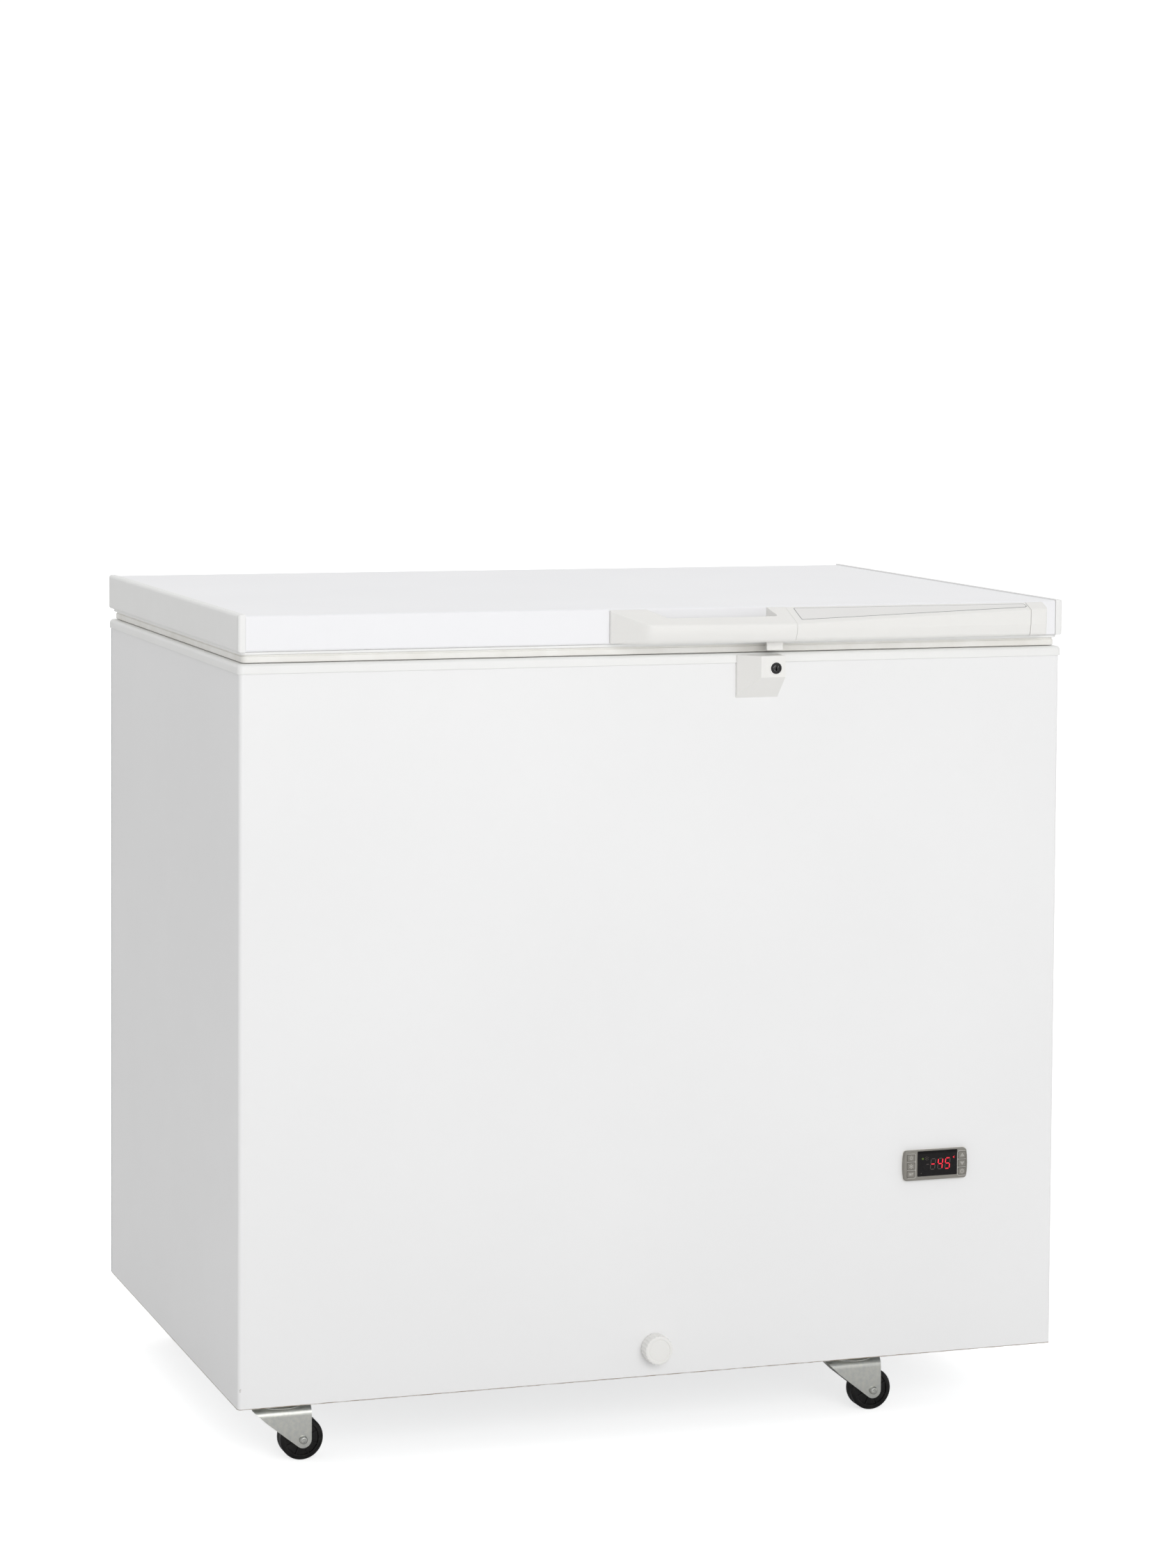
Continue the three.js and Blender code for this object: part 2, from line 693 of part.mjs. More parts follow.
function lockHousing() {
  const w = lock.wall;
  const block = box([lockLeft, lockRight], [outFrom(lock.depth), outFrom(gap)], [lockLow, lockTop]);
  const outside = cut(block, ...housingSlopes(0));
  const room = box(
    [lockLeft + w, lockRight - w],
    [outFrom(lock.depth - w), outFrom(0)],
    [lockLow + w, lockTop - w],
  );
  const inside = cut(room, ...housingSlopes(w));
  const front = [outFrom(lock.depth + 2), outFrom(lock.depth - w - 2)];
  const barrelHole = rod("y", lock.barrelRadius + gap, front, [lock.x, lockZ], 24);
  const slot = box(
    [lockLeft + w + 4, lockRight - w],
    [camSpan[0] - 1, camSpan[1] + 1],
    [lockTop - w - 1, lockTop + 1],
  );
  const rimNotch = box(
    [lockLeft - 1, lockRight + 1],
    [outFrom(rim.proud + gap), outFrom(-1)],
    [rimTop - rim.skirt - gap, lockTop + 1],
  );
  return cut(outside, inside, barrelHole, slot, rimNotch);
}

function lockBarrel() {
  const barrelSpan = [outFrom(lock.depth + 1), outFrom(cam.standOff)];
  const barrel = rod("y", lock.barrelRadius, barrelSpan, [lock.x, lockZ], 24);
  const slot = box(
    around(lock.x, keyway.width / 2),
    [outFrom(lock.depth + 2), outFrom(lock.depth - keyway.depth)],
    around(lockZ, keyway.height / 2),
  );
  const tip = lock.x - cam.reach;
  const arm = box([tip, lock.x], camSpan, around(lockZ, cam.armWidth / 2));
  const fingerHeights = [lockZ - cam.armWidth / 2, lockZ + cam.fingerLength];
  const finger = box([tip, tip + cam.fingerHeight], camSpan, fingerHeights);
  return cut(join(barrel, arm, finger), slot);
}

// ---------------------------------------------------------------- lid
function lidSkin() {
  const x = lidHalfWidth - lid.capWidth - gap;
  const middle = (lidTop + lidBottom) / 2;
  const shell = roundedRectangle(2 * lidHalfDepth, lid.skinHeight, lid.edgeRadius);
  const hollow = roundedRectangle(
    2 * (lidHalfDepth - sheet),
    lid.skinHeight - 2 * sheet,
    lid.edgeRadius - sheet,
  );
  const tube = cut(prismX(shell, [-x, x]), prismX(hollow, [-x - 1, x + 1])).translate([0, 0, middle]);
  const under = lidHalfDepth - 9;
  return cut(tube, box([-x - 1, x + 1], [-under, under], [lidBottom - 1, lidBottom + sheet + 0.1]));
}

// side is -1 for the left cap and 1 for the right one.
function lidEndCap(side) {
  const outer = lidHalfWidth;
  const inner = lidHalfWidth - lid.capWidth;
  const top = lidTop + lid.capProud;
  const r = lid.capRadius;
  const s = new THREE.Shape();
  s.moveTo(inner, lidBottom);
  s.lineTo(outer, lidBottom);
  s.lineTo(outer, top - r);
  s.absarc(outer - r, top - r, r, 0, Math.PI / 2);
  s.lineTo(inner, top);
  s.closePath();
  const y = lidHalfDepth + lid.capProud;
  const cap = prismY(s, [-y, y], 4);
  return side > 0 ? cap : cap.mirror([1, 0, 0]);
}

function plugOutline(margin) {
  const width = 2 * (cavityX - lid.plugClearance - margin);
  const depth = 2 * (cavityY - lid.plugClearance - margin);
  return roundedRectangle(width, depth, 20 - margin);
}

const plugBottom = rimTop - lid.plugDrop;

function lidPan() {
  const x = lidHalfWidth - 4;
  const y = lidHalfDepth - 4;
  const flange = prismZ(roundedRectangle(2 * x, 2 * y, 6), [gasketTop + gap, frameTop], 3);
  const plug = prismZ(plugOutline(0), [plugBottom, frameTop - 1], 4, 3);
  const hollow = prismZ(plugOutline(lid.panWall), [plugBottom + lid.panWall, frameTop + 1], 4);
  return cut(join(flange, plug), hollow);
}

function lidFoam() {
  const x = lidHalfWidth - lid.capWidth - 2 * gap;
  const y = lidHalfDepth - sheet - gap;
  const slab = box(
    [-x, x],
    [-y + lid.edgeRadius, y - lid.edgeRadius],
    [lidBottom + sheet + gap, lidTop - sheet - gap],
  );
  const plug = prismZ(plugOutline(lid.panWall + gap), [plugBottom + lid.panWall + gap, lidBottom + 5], 4);
  return join(slab, plug);
}

function lidGasket() {
  const x = lidHalfWidth - gasket.inset;
  const y = lidHalfDepth - gasket.inset;
  const plan = roundedRectangle(2 * x, 2 * y, gasket.corner);
  const ring = prismZ(plan, [gasketBottom, gasketTop], 3, gasket.bulge);
  const hole = box(
    [-x + gasket.width, x - gasket.width],
    [-y + gasket.width, y - gasket.width],
    [gasketBottom - 1, gasketTop + 1],
  );
  return cut(ring, hole);
}

// ---------------------------------------------------------------- handle
// The handle's section at a given depth: flat on the lid, sloping on top, rounded towards the fingers.
function handleSection(depth) {
  const face = -lidHalfDepth - gap;
  const top = (p) => handleTop - handle.topSlope * p;
  return [
    [0, handleBottom],
    [0.72 * depth, handleBottom],
    [0.9 * depth, handleBottom + 5],
    [0.985 * depth, handleBottom + 11],
    [depth, top(depth) - 3],
    [depth - 2.5, top(depth - 2.5)],
    [0, handleTop],
  ].map(([p, z]) => [face - p, z]);
}

// A bar along X whose section changes from one depth to another.
function handleBar([x0, x1], depth0, depth1) {
  const start = handleSection(depth0);
  const end = handleSection(depth1);
  const bar = new THREE.ExtrudeGeometry(outline(start), { depth: x1 - x0, bevelEnabled: false });
  const at = bar.getAttribute("position");
  for (let i = 0; i < at.count; i++) {
    const nearest = start.findIndex(([y, z]) => Math.hypot(at.getX(i) - y, at.getY(i) - z) < 0.01);
    const [y, z] = at.getZ(i) > (x1 - x0) / 2 ? end[nearest] : start[nearest];
    at.setXYZ(i, x0 + at.getZ(i), y, z);
  }
  return solidOf(bar);
}

function handleGrip() {
  const ramp = handleBar([handle.left, handle.gripStart], 4, handle.gripDepth);
  const grip = handleBar([handle.gripStart, handle.joint - gap], handle.gripDepth, handle.jointDepth);
  const back = -lidHalfDepth;
  const inner = back - gap - handle.slotDepth;
  const slot = outline([
    [handle.slotLeft, back + 1],
    [handle.slotLeft + handle.slotDepth, inner],
    [handle.slotRight, inner],
    [handle.slotRight - handle.slotDepth / 3, back + 1],
  ]);
  return cut(join(ramp, grip), prismZ(slot, [handleBottom - 2, handleTop + 2]));
}

const handleCover = () => handleBar([handle.joint, handleRight], handle.jointDepth, handle.endDepth);

function strikerTab() {
  const heights = [rimTop + striker.aboveRim, handleBottom - gap];
  const left = lock.x + striker.left;
  const right = lock.x + striker.right;
  const inner = outFrom(cam.standOff - 2);
  const outer = outFrom(cam.standOff + striker.depth);
  const front = box([left, right], [outer, outer + striker.wall], heights);
  const side = box([right - striker.wall + 0.5, right], [outer, inner], heights);
  const ledge = box([lock.x + striker.ledgeLeft, right], [outer, inner], [heights[0], heights[0] + 2]);
  return join(front, side, ledge);
}

// ---------------------------------------------------------------- hinges, built about x = 0
function hingeBase() {
  const w = hinge.width / 2;
  const back = halfDepth + gap;
  const plateTop = rimTop - rim.skirt - 3;
  const plate = box([-w, w], [back, back + hinge.sheet], [plateTop - hinge.plateHeight, plateTop]);
  const { y, z } = hingeAxis;
  const r = hinge.earRadius;
  const ear = new THREE.Shape();
  ear.moveTo(back, plateTop - 38);
  ear.lineTo(back + 14, plateTop - 38);
  ear.lineTo(y + r, plateTop - 12);
  ear.lineTo(y + r, z);
  ear.absarc(y, z, r, 0, Math.PI);
  ear.lineTo(y - r, plateTop);
  ear.lineTo(back, plateTop);
  ear.closePath();
  const ears = [-w, w - hinge.sheet].map((x) => prismX(ear, [x, x + hinge.sheet], 5));
  const bore = rod("x", hinge.pinRadius + gap, [-w - 1, w + 1], [y, z], 16);
  return cut(join(plate, ...ears), bore);
}

function hingePin() {
  const w = hinge.width / 2 + gap;
  const { y, z } = hingeAxis;
  const shaft = rod("x", hinge.pinRadius, [-w - 2, w + 2], [y, z], 16);
  const heads = [
    [-w - 2.5, -w],
    [w, w + 2.5],
  ].map((span) => rod("x", hinge.pinRadius + 2, span, [y, z], 16));
  return join(shaft, ...heads);
}

function hingeLeaf() {
  const w = hinge.width / 2 - hinge.sheet - 0.5;
  const { y, z } = hingeAxis;
  const face = lidHalfDepth + gap;
  const plate = box([-w, w], [face, face + hinge.sheet], [lidBottom + 3, lidTop - 6]);
  const web = box([-4, w], [face, y], [z, lidBottom + 9]);
  const knuckle = rod("x", hinge.knuckleRadius, [-4, w], [y, z], 18);
  const bore = rod("x", hinge.pinRadius + gap, [-5, w + 1], [y, z], 16);
  return cut(join(plate, web, knuckle), bore);
}

function hingeSpring() {
  const { y, z } = hingeAxis;
  const turns = 4;
  const perTurn = 6;
  const coil = hinge.knuckleRadius - 0.6;
  const left = -hinge.width / 2 + hinge.sheet + 2.2;
  const right = -6.4;
  const points = [[left, y + 6, z - 26]];
  for (let i = 0; i <= turns * perTurn; i++) {
    const a = (2 * Math.PI * i) / perTurn;
    const x = left + ((right - left) * i) / (turns * perTurn);
    points.push([x, y + coil * Math.cos(a), z + coil * Math.sin(a)]);
  }
  points.push([right, y + coil, z + 6]);
  return bentTube(1.1, points, 36, 5);
}

// ---------------------------------------------------------------- casters, built about their swivel axis
const castorTop = bottom - gap;
const plateLow = castorTop - caster.plateSheet;
const raceLow = plateLow - caster.raceHeight;
const crownTop = raceLow - gap - 0.5;
const crownLow = crownTop - caster.forkCrown;
const forkInside = caster.wheelWidth / 2 + 2.5;
const forkOutside = forkInside + caster.forkSheet;

function casterPlate() {
  const half = caster.plate / 2;
  const plate = prismZ(roundedRectangle(caster.plate, caster.plate, 5), [plateLow, castorTop], 2);
  const race = rod("z", caster.raceRadius, [raceLow, plateLow + 1], [0, 0], 16);
  const kingpin = rod("z", caster.kingpinRadius, [crownLow - 2, raceLow + 1], [0, 0], 12);
  const kingpinHead = rod("z", caster.kingpinRadius + 3, [crownLow - 3.3, crownLow - 0.5], [0, 0], 12);
  const bolts = [-1, 1].flatMap((sx) =>
    [-1, 1].map((sy) => rod("z", 4.5, [plateLow - 5, plateLow + 1], [sx * (half - 7), sy * (half - 7)], 6)),
  );
  return join(plate, race, kingpin, kingpinHead, ...bolts);
}

function casterFork() {
  const { trail, wheelRadius } = caster;
  const tip = 8.8;
  const cheek = new THREE.Shape();
  cheek.moveTo(trail + tip, crownTop);
  cheek.lineTo(-30, crownTop);
  cheek.lineTo(-31, crownTop - 10);
  cheek.lineTo(-10, wheelRadius + 10);
  cheek.lineTo(trail - 5.6, wheelRadius - 6.8);
  cheek.absarc(trail, wheelRadius, tip, Math.PI * 1.28, Math.PI * 2);
  cheek.closePath();
  const cheeks = [
    [-forkOutside, -forkInside],
    [forkInside, forkOutside],
  ].map((span) => prismY(cheek, span, 5));
  const crown = join(
    box([-30, trail + tip], [-forkOutside, forkOutside], [crownLow, crownTop]),
    rod("z", 23, [crownLow, crownTop], [0, 0], 16),
  );
  const pinHole = rod("z", caster.kingpinRadius + gap, [crownLow - 1, crownTop + 1], [0, 0], 12);
  const axleSpan = [-forkOutside - 1, forkOutside + 1];
  const axleHole = rod("y", caster.axleRadius + gap, axleSpan, [trail, wheelRadius], 12);
  return cut(join(crown, ...cheeks), pinHole, axleHole);
}

function casterAxle() {
  const end = forkOutside + gap;
  const at = [caster.trail, caster.wheelRadius];
  const shaft = rod("y", caster.axleRadius, [-end - 1, end + 1], at, 12);
  const heads = [
    [-end - 2.8, -end],
    [end, end + 2.8],
  ].map((span) => rod("y", 4.3, span, at, 12));
  return join(shaft, ...heads);
}

function casterWheel() {
  const r = caster.wheelRadius;
  const w = caster.wheelWidth / 2;
  const bore = caster.axleRadius + gap;
  const profile = [
    [bore, -w],
    [bore + 3.5, -w],
    [r - 5, 2 - w],
    [r - 4, -w],
    [r, 2 - w],
    [r, w - 2],
    [r - 4, w],
    [r - 5, w - 2],
    [bore + 3.5, w],
    [bore, w],
    [bore, -w],
  ];
  return latheY(profile, [caster.trail, 0, r], 24);
}

// ---------------------------------------------------------------- assembly
piece("cabinet_shell", cabinetShell(), paintedSteel);
piece("rear_panel", rearPanel(), galvanised);
piece("base_pan", basePan(), galvanised);
piece("inner_liner", innerLiner(), linerEnamel);
piece("insulation_foam", insulation(), foam);
piece("rim_frame", rimFrame(), rimPlastic);
piece("side_grille", sideGrille(), rimPlastic);
piece("cord_gland", cordGland(), blackPlastic);
piece("drain_pipe", drainPipe(), rimPlastic);
piece("drain_cap", drainCap(), handlePlastic);

piece("compressor", compressorPot(), blackEnamel);
piece("condenser", condenserCoil(), aluminium);
piece("suction_line", suctionLine(), copper);
piece("liquid_line", liquidLine(), copper);
piece("fan_frame", fanFrame(), blackPlastic);
piece("fan_rotor", fanRotor(), blackPlastic);

piece("controller_bezel", controllerBezel(), bezelGrey);
piece("controller_body", controllerBody(), blackPlastic);
piece("display_window", displayWindow(), darkWindow);
for (const [name, x, z] of keyPlaces) piece(name, key(x, z), keyGrey);

piece("lock_housing", lockHousing(), handlePlastic);
piece("lock_barrel", lockBarrel(), chrome);

piece("lid_skin", lidSkin(), paintedSteel);
piece("lid_foam", lidFoam(), foam);
piece("lid_pan", lidPan(), rimPlastic);
piece("lid_gasket", lidGasket(), gasketVinyl);
piece("lid_end_cap_left", lidEndCap(-1), rimPlastic);
piece("lid_end_cap_right", lidEndCap(1), rimPlastic);
piece("handle_grip", handleGrip(), handlePlastic);
piece("handle_cover", handleCover(), handlePlastic);
piece("striker_tab", strikerTab(), handlePlastic);

for (const [side, sign] of [["left", -1], ["right", 1]]) {
  const mount = new THREE.Group();
  mount.position.x = (sign * hinge.spacing) / 2;
  freezer.add(mount);
  piece("hinge_base_" + side, hingeBase(), zincPlated, mount);
  piece("hinge_pin_" + side, hingePin(), springSteel, mount);
  piece("hinge_leaf_" + side, hingeLeaf(), zincPlated, mount);
  piece("hinge_spring_" + side, hingeSpring(), springSteel, mount);
}

const corners = [
  ["front_left", caster.leftInset - halfWidth, -1],
  ["front_right", halfWidth - caster.rightInset, -1],
  ["rear_left", caster.leftInset - halfWidth, 1],
  ["rear_right", halfWidth - caster.rightInset, 1],
];
for (const [corner, x, sign] of corners) {
  const swivel = new THREE.Group();
  swivel.position.set(x, sign * (halfDepth - caster.inset), 0);
  freezer.add(swivel);
  piece("caster_plate_" + corner, casterPlate(), zincPlated, swivel);
  piece("caster_fork_" + corner, casterFork(), zincPlated, swivel);
  piece("caster_axle_" + corner, casterAxle(), zincPlated, swivel);
  piece("caster_wheel_" + corner, casterWheel(), casterPlastic, swivel);
}

// The handle reaches further forward than the hinges reach back, so all is moved to sit about the origin.
const frontReach = lidHalfDepth + gap + handle.jointDepth;
const rearReach = hingeAxis.y + hinge.earRadius;
freezer.position.y = (frontReach - rearReach) / 2;

export default freezer;
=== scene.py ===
"""A low-temperature chest freezer on four swivel casters: its finished surfaces, light and camera."""

import json
import math

import bmesh
import bpy
from mathutils import Matrix, Vector

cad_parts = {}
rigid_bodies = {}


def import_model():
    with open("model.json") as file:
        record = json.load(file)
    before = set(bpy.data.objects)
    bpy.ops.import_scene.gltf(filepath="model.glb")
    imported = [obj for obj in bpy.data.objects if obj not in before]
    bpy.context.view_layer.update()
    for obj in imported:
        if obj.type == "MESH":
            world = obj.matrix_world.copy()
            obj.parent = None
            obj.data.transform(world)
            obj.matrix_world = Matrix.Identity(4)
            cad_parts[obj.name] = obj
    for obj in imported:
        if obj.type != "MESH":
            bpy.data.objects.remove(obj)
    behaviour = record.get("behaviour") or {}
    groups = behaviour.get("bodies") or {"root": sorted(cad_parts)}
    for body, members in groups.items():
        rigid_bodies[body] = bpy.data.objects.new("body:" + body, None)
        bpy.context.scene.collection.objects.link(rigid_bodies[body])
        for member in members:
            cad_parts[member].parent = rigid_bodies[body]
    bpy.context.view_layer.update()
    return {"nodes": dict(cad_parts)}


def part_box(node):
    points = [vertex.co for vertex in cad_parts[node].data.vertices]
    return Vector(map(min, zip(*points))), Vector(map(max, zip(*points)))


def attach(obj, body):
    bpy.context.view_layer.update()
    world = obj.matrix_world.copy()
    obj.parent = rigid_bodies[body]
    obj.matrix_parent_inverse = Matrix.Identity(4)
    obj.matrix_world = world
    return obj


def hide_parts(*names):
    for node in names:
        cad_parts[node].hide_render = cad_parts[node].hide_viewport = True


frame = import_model()

MM = 0.001  # every modelling size below is in millimetres
MERGE_DISTANCE = 1e-7
NEAR = 1e-5
# Studio levels: the floor's glow, the fill from all round with its leans, and the two softboxes.
FLOOR_GLOW = 0.7
WORLD_FILL = 0.715
LEAN_ACROSS = 0.06
LEAN_BACK = 0.3
KEY_POWER = 86
TOP_POWER = 7
BACKDROP = 1.05
FLOOR_SIZE = 40  # metres


# ---------------------------------------------------------------- places taken from the frame
def extent(node):
    """Lowest and highest corner of a frame node, in millimetres."""
    low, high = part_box(node)
    return low / MM, high / MM


shell_low = extent("cabinet_shell")[0]
rim_low, rim_high = extent("rim_frame")
gasket_low, gasket_high = extent("lid_gasket")
grip_low, grip_high = extent("handle_grip")
cover_low, cover_high = extent("handle_cover")
lock_low, lock_high = extent("lock_housing")
bezel_low, bezel_high = extent("controller_bezel")
window_low, window_high = extent("display_window")
knob_low, knob_high = extent("drain_cap")
liner_low, liner_high = extent("inner_liner")
CORNERS = ("front_left", "front_right", "rear_left", "rear_right")
KEYS = ("light", "defrost", "set", "up", "down", "power")


# ---------------------------------------------------------------- modelling helpers
def make_active(obj):
    """Deselects everything, then selects obj alone."""
    for other in bpy.data.objects:
        other.select_set(False)
    bpy.context.view_layer.objects.active = obj
    obj.select_set(True)


def edit(obj):
    """Opens obj in edit mode with nothing selected and returns its editable mesh."""
    make_active(obj)
    bpy.ops.object.mode_set(mode="EDIT")
    bpy.ops.mesh.select_mode(type="VERT")
    bpy.ops.mesh.select_all(action="DESELECT")
    return bmesh.from_edit_mesh(obj.data)


def leave_edit():
    bpy.ops.object.mode_set(mode="OBJECT")


def pick(obj, kind, wanted):
    """In edit mode, selects the vertices, edges or faces that pass the test, and counts them."""
    bpy.ops.mesh.select_mode(type=kind)
    bpy.ops.mesh.select_all(action="DESELECT")
    mesh = bmesh.from_edit_mesh(obj.data)
    items = {"VERT": mesh.verts, "EDGE": mesh.edges, "FACE": mesh.faces}[kind]
    chosen = [item for item in items if wanted(item)]
    for item in chosen:
        item.select_set(True)
    mesh.select_flush_mode()
    bmesh.update_edit_mesh(obj.data)
    return len(chosen)


def merge_and_face_out():
    """In edit mode, merges doubled vertices and turns every face outwards."""
    bpy.ops.mesh.select_all(action="SELECT")
    bpy.ops.mesh.remove_doubles(threshold=MERGE_DISTANCE)
    bpy.ops.mesh.normals_make_consistent(inside=False)


def lay(axis, outline, along):
    """Puts a flat outline across an axis: (y, z) across x, (x, z) across y, (x, y) across z."""
    if axis == "x":
        return [(along, u, v) for u, v in outline]
    if axis == "y":
        return [(u, along, v) for u, v in outline]
    return [(u, v, along) for u, v in outline]


def circle(centre, radius, sides=48):
    turns = [2 * math.pi * i / sides for i in range(sides)]
    return [(centre[0] + radius * math.cos(a), centre[1] + radius * math.sin(a)) for a in turns]


def rounded(corners, steps=5):
    """An outline of (u, v, radius) corners, with an arc in place of each corner that has a radius."""
    points = []
    for i, (u, v, radius) in enumerate(corners):
        here = Vector((u, v))
        if not radius:
            points.append(here)
            continue
        back = (Vector(corners[i - 1][:2]) - here).normalized()
        ahead = (Vector(corners[(i + 1) % len(corners)][:2]) - here).normalized()
        half = back.angle(ahead) / 2
        centre = here + (back + ahead).normalized() * radius / math.sin(half)
        start = here + back * radius / math.tan(half) - centre
        end = here + ahead * radius / math.tan(half) - centre
        turn = math.atan2(start.x * end.y - start.y * end.x, start.dot(end))
        for step in range(steps + 1):
            a = turn * step / steps
            c, s = math.cos(a), math.sin(a)
            points.append(centre + Vector((start.x * c - start.y * s, start.x * s + start.y * c)))
    return [tuple(p) for p in points]


def rectangle(u_span, v_span, radius=0.0, steps=5):
    (u0, u1), (v0, v1) = u_span, v_span
    return rounded([(u0, v0, radius), (u1, v0, radius), (u1, v1, radius), (u0, v1, radius)], steps)


def loft(name, rings, closed=False):
    """Extrudes the first ring of points from ring to ring; a closed loft ends where it began."""
    fill = "NOTHING" if closed else "NGON"
    bpy.ops.mesh.primitive_circle_add(vertices=len(rings[0]), radius=MM, fill_type=fill)
    obj = bpy.context.object
    obj.name = name
    for vertex, point in zip(obj.data.vertices, rings[0]):
        vertex.co = Vector(point) * MM
    edit(obj)
    bpy.ops.mesh.select_all(action="SELECT")
    previous = [Vector(point) * MM for point in rings[0]]
    for ring in list(rings[1:]) + ([rings[0]] if closed else []):
        bpy.ops.mesh.extrude_region_move()
        targets = [Vector(point) * MM for point in ring]
        for vertex in [v for v in bmesh.from_edit_mesh(obj.data).verts if v.select]:
            nearest = min(range(len(previous)), key=lambda i: (previous[i] - vertex.co).length_squared)
            vertex.co = targets[nearest]
        bmesh.update_edit_mesh(obj.data)
        previous = targets
    merge_and_face_out()
    leave_edit()
    return obj


def prism(name, axis, outline, span):
    return loft(name, [lay(axis, outline, along) for along in span])


def turned(name, axis, centre, profile, sides=48):
    """A turned piece: (radius, place along the axis) from one flat end to the other."""
    return loft(name, [lay(axis, circle(centre, radius, sides), along) for radius, along in profile])


def block(name, low, high):
    """A cube primitive at its size and place, the start of a hand-shaped piece."""
    low, high = Vector(low) * MM, Vector(high) * MM
    bpy.ops.mesh.primitive_cube_add(size=1, location=(low + high) / 2, scale=high - low)
    obj = bpy.context.object
    obj.name = name
    make_active(obj)
    bpy.ops.object.transform_apply(location=True, rotation=True, scale=True)
    return obj


def slice_off(obj, point, normal):
    """Bisects obj at a plane and closes it, dropping the side that the normal points to."""
    edit(obj)
    bpy.ops.mesh.select_all(action="SELECT")
    at = Vector(point) * MM
    bpy.ops.mesh.bisect(plane_co=at, plane_no=normal, use_fill=True, clear_outer=True)
    leave_edit()
    return obj


def modify(obj, kind, **settings):
    """Adds one modifier with its settings and applies it."""
    make_active(obj)
    modifier = obj.modifiers.new(kind.lower(), kind)
    for setting, value in settings.items():
        setattr(modifier, setting, value)
    bpy.ops.object.modifier_apply(modifier=modifier.name)
    return obj


def soften(obj, width, segments=3, angle=40):
    """Rounds every edge sharper than the angle."""
    limit = {"limit_method": "ANGLE", "angle_limit": math.radians(angle)}
    return modify(obj, "BEVEL", width=width * MM, segments=segments, **limit)


def round_edges(obj, width, segments, wanted):
    """Rounds only the edges that pass the test."""
    edit(obj)
    pick(obj, "EDGE", wanted)
    bpy.ops.mesh.bevel(offset=width * MM, segments=segments, affect="EDGES")
    leave_edit()
    return obj


def carve(obj, *tools):
    """Cuts the tools out of obj and throws them away."""
    for tool in tools:
        modify(obj, "BOOLEAN", object=tool, operation="DIFFERENCE", solver="EXACT")
        bpy.data.objects.remove(tool)
    return obj


def fuse(obj, *others):
    """Unites obj with the others into one closed body."""
    for other in others:
        modify(obj, "BOOLEAN", object=other, operation="UNION", solver="EXACT")
        bpy.data.objects.remove(other)
    return obj


def gather(name, pieces):
    """Joins several separate solids into one named piece."""
    make_active(pieces[0])
    for piece in pieces[1:]:
        piece.select_set(True)
    if len(pieces) > 1:
        bpy.ops.object.join()
    pieces[0].name = name
    return pieces[0]


def duplicate(obj, name, offset=(0, 0, 0)):
    """A copy with its own mesh, moved by the offset."""
    copy = obj.copy()
    copy.data = obj.data.copy()
    copy.name = name
    bpy.context.scene.collection.objects.link(copy)
    copy.data.transform(Matrix.Translation(Vector(offset) * MM))
    return copy


def turn_about(obj, axis, degrees, centre):
    """Turns obj's mesh about an axis through a point."""
    at = Matrix.Translation(Vector(centre) * MM)
    obj.data.transform(at @ Matrix.Rotation(math.radians(degrees), 4, axis) @ at.inverted())
    return obj


def tube(name, points, radius, sides=3):
    """A round wire or pipe through the points, closed at both ends."""
    bpy.ops.curve.primitive_nurbs_path_add()
    obj = bpy.context.object
    obj.name = name
    obj.data.splines.clear()
    spline = obj.data.splines.new("POLY")
    spline.points.add(len(points) - 1)
    for slot, point in zip(spline.points, points):
        slot.co = (*(Vector(point) * MM), 1)
    obj.data.bevel_depth = radius * MM
    obj.data.bevel_resolution = sides
    obj.data.use_fill_caps = True
    obj.location = (0, 0, 0)
    make_active(obj)
    bpy.ops.object.convert(target="MESH")
    edit(obj)
    merge_and_face_out()
    leave_edit()
    return obj


def finish_piece(obj, body, slot, material, *nodes, smooth=32):
    """Gives a piece its material and shading, sets it on its body and hides the frame nodes that it stands
    for; the slot is not used.
    """
    obj.data.materials.clear()
    obj.data.materials.append(material)
    make_active(obj)
    bpy.ops.object.shade_smooth_by_angle(angle=math.radians(smooth))
    modify(obj, "WEIGHTED_NORMAL", keep_sharp=True, weight=80)
    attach(obj, body)
    if nodes:
        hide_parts(*nodes)


def refined(node, width, segments=2):
    """A merged copy of a frame node with its edges rounded."""
    source = frame["nodes"][node]
    obj = bpy.data.objects.new(node + "_finished", source.data.copy())
    bpy.context.scene.collection.objects.link(obj)
    make_active(obj)
    bpy.ops.mesh.customdata_custom_splitnormals_clear()
    edit(obj)
    bpy.ops.mesh.select_all(action="SELECT")
    bpy.ops.mesh.remove_doubles(threshold=2e-6)
    bpy.ops.mesh.select_all(action="SELECT")
    bpy.ops.mesh.dissolve_limited(angle_limit=math.radians(1))
    leave_edit()
    if width:
        soften(obj, width, segments, 35)
    return obj


def finish_refined(node, width, body, slot, material, segments=2):
    """Finishes a frame node's own form with its edges rounded by the width."""
    finish_piece(refined(node, width, segments), body, slot, material, node)


# ---------------------------------------------------------------- materials
def linear(code):
    """An sRGB hex colour as linear RGBA."""
    parts = [int(code[i : i + 2], 16) / 255 for i in (0, 2, 4)]
    return [c / 12.92 if c <= 0.04045 else ((c + 0.055) / 1.055) ** 2.4 for c in parts] + [1.0]


def add_node(tree, kind, links=None, values=None, **settings):
    """Adds one node, with its settings, its input values and its incoming links."""
    node = tree.nodes.new(kind)
    for setting, value in settings.items():
        setattr(node, setting, value)
    for socket, value in (values or {}).items():
        node.inputs[socket].default_value = value
    for socket, source in (links or {}).items():
        tree.links.new(source, node.inputs[socket])
    return node


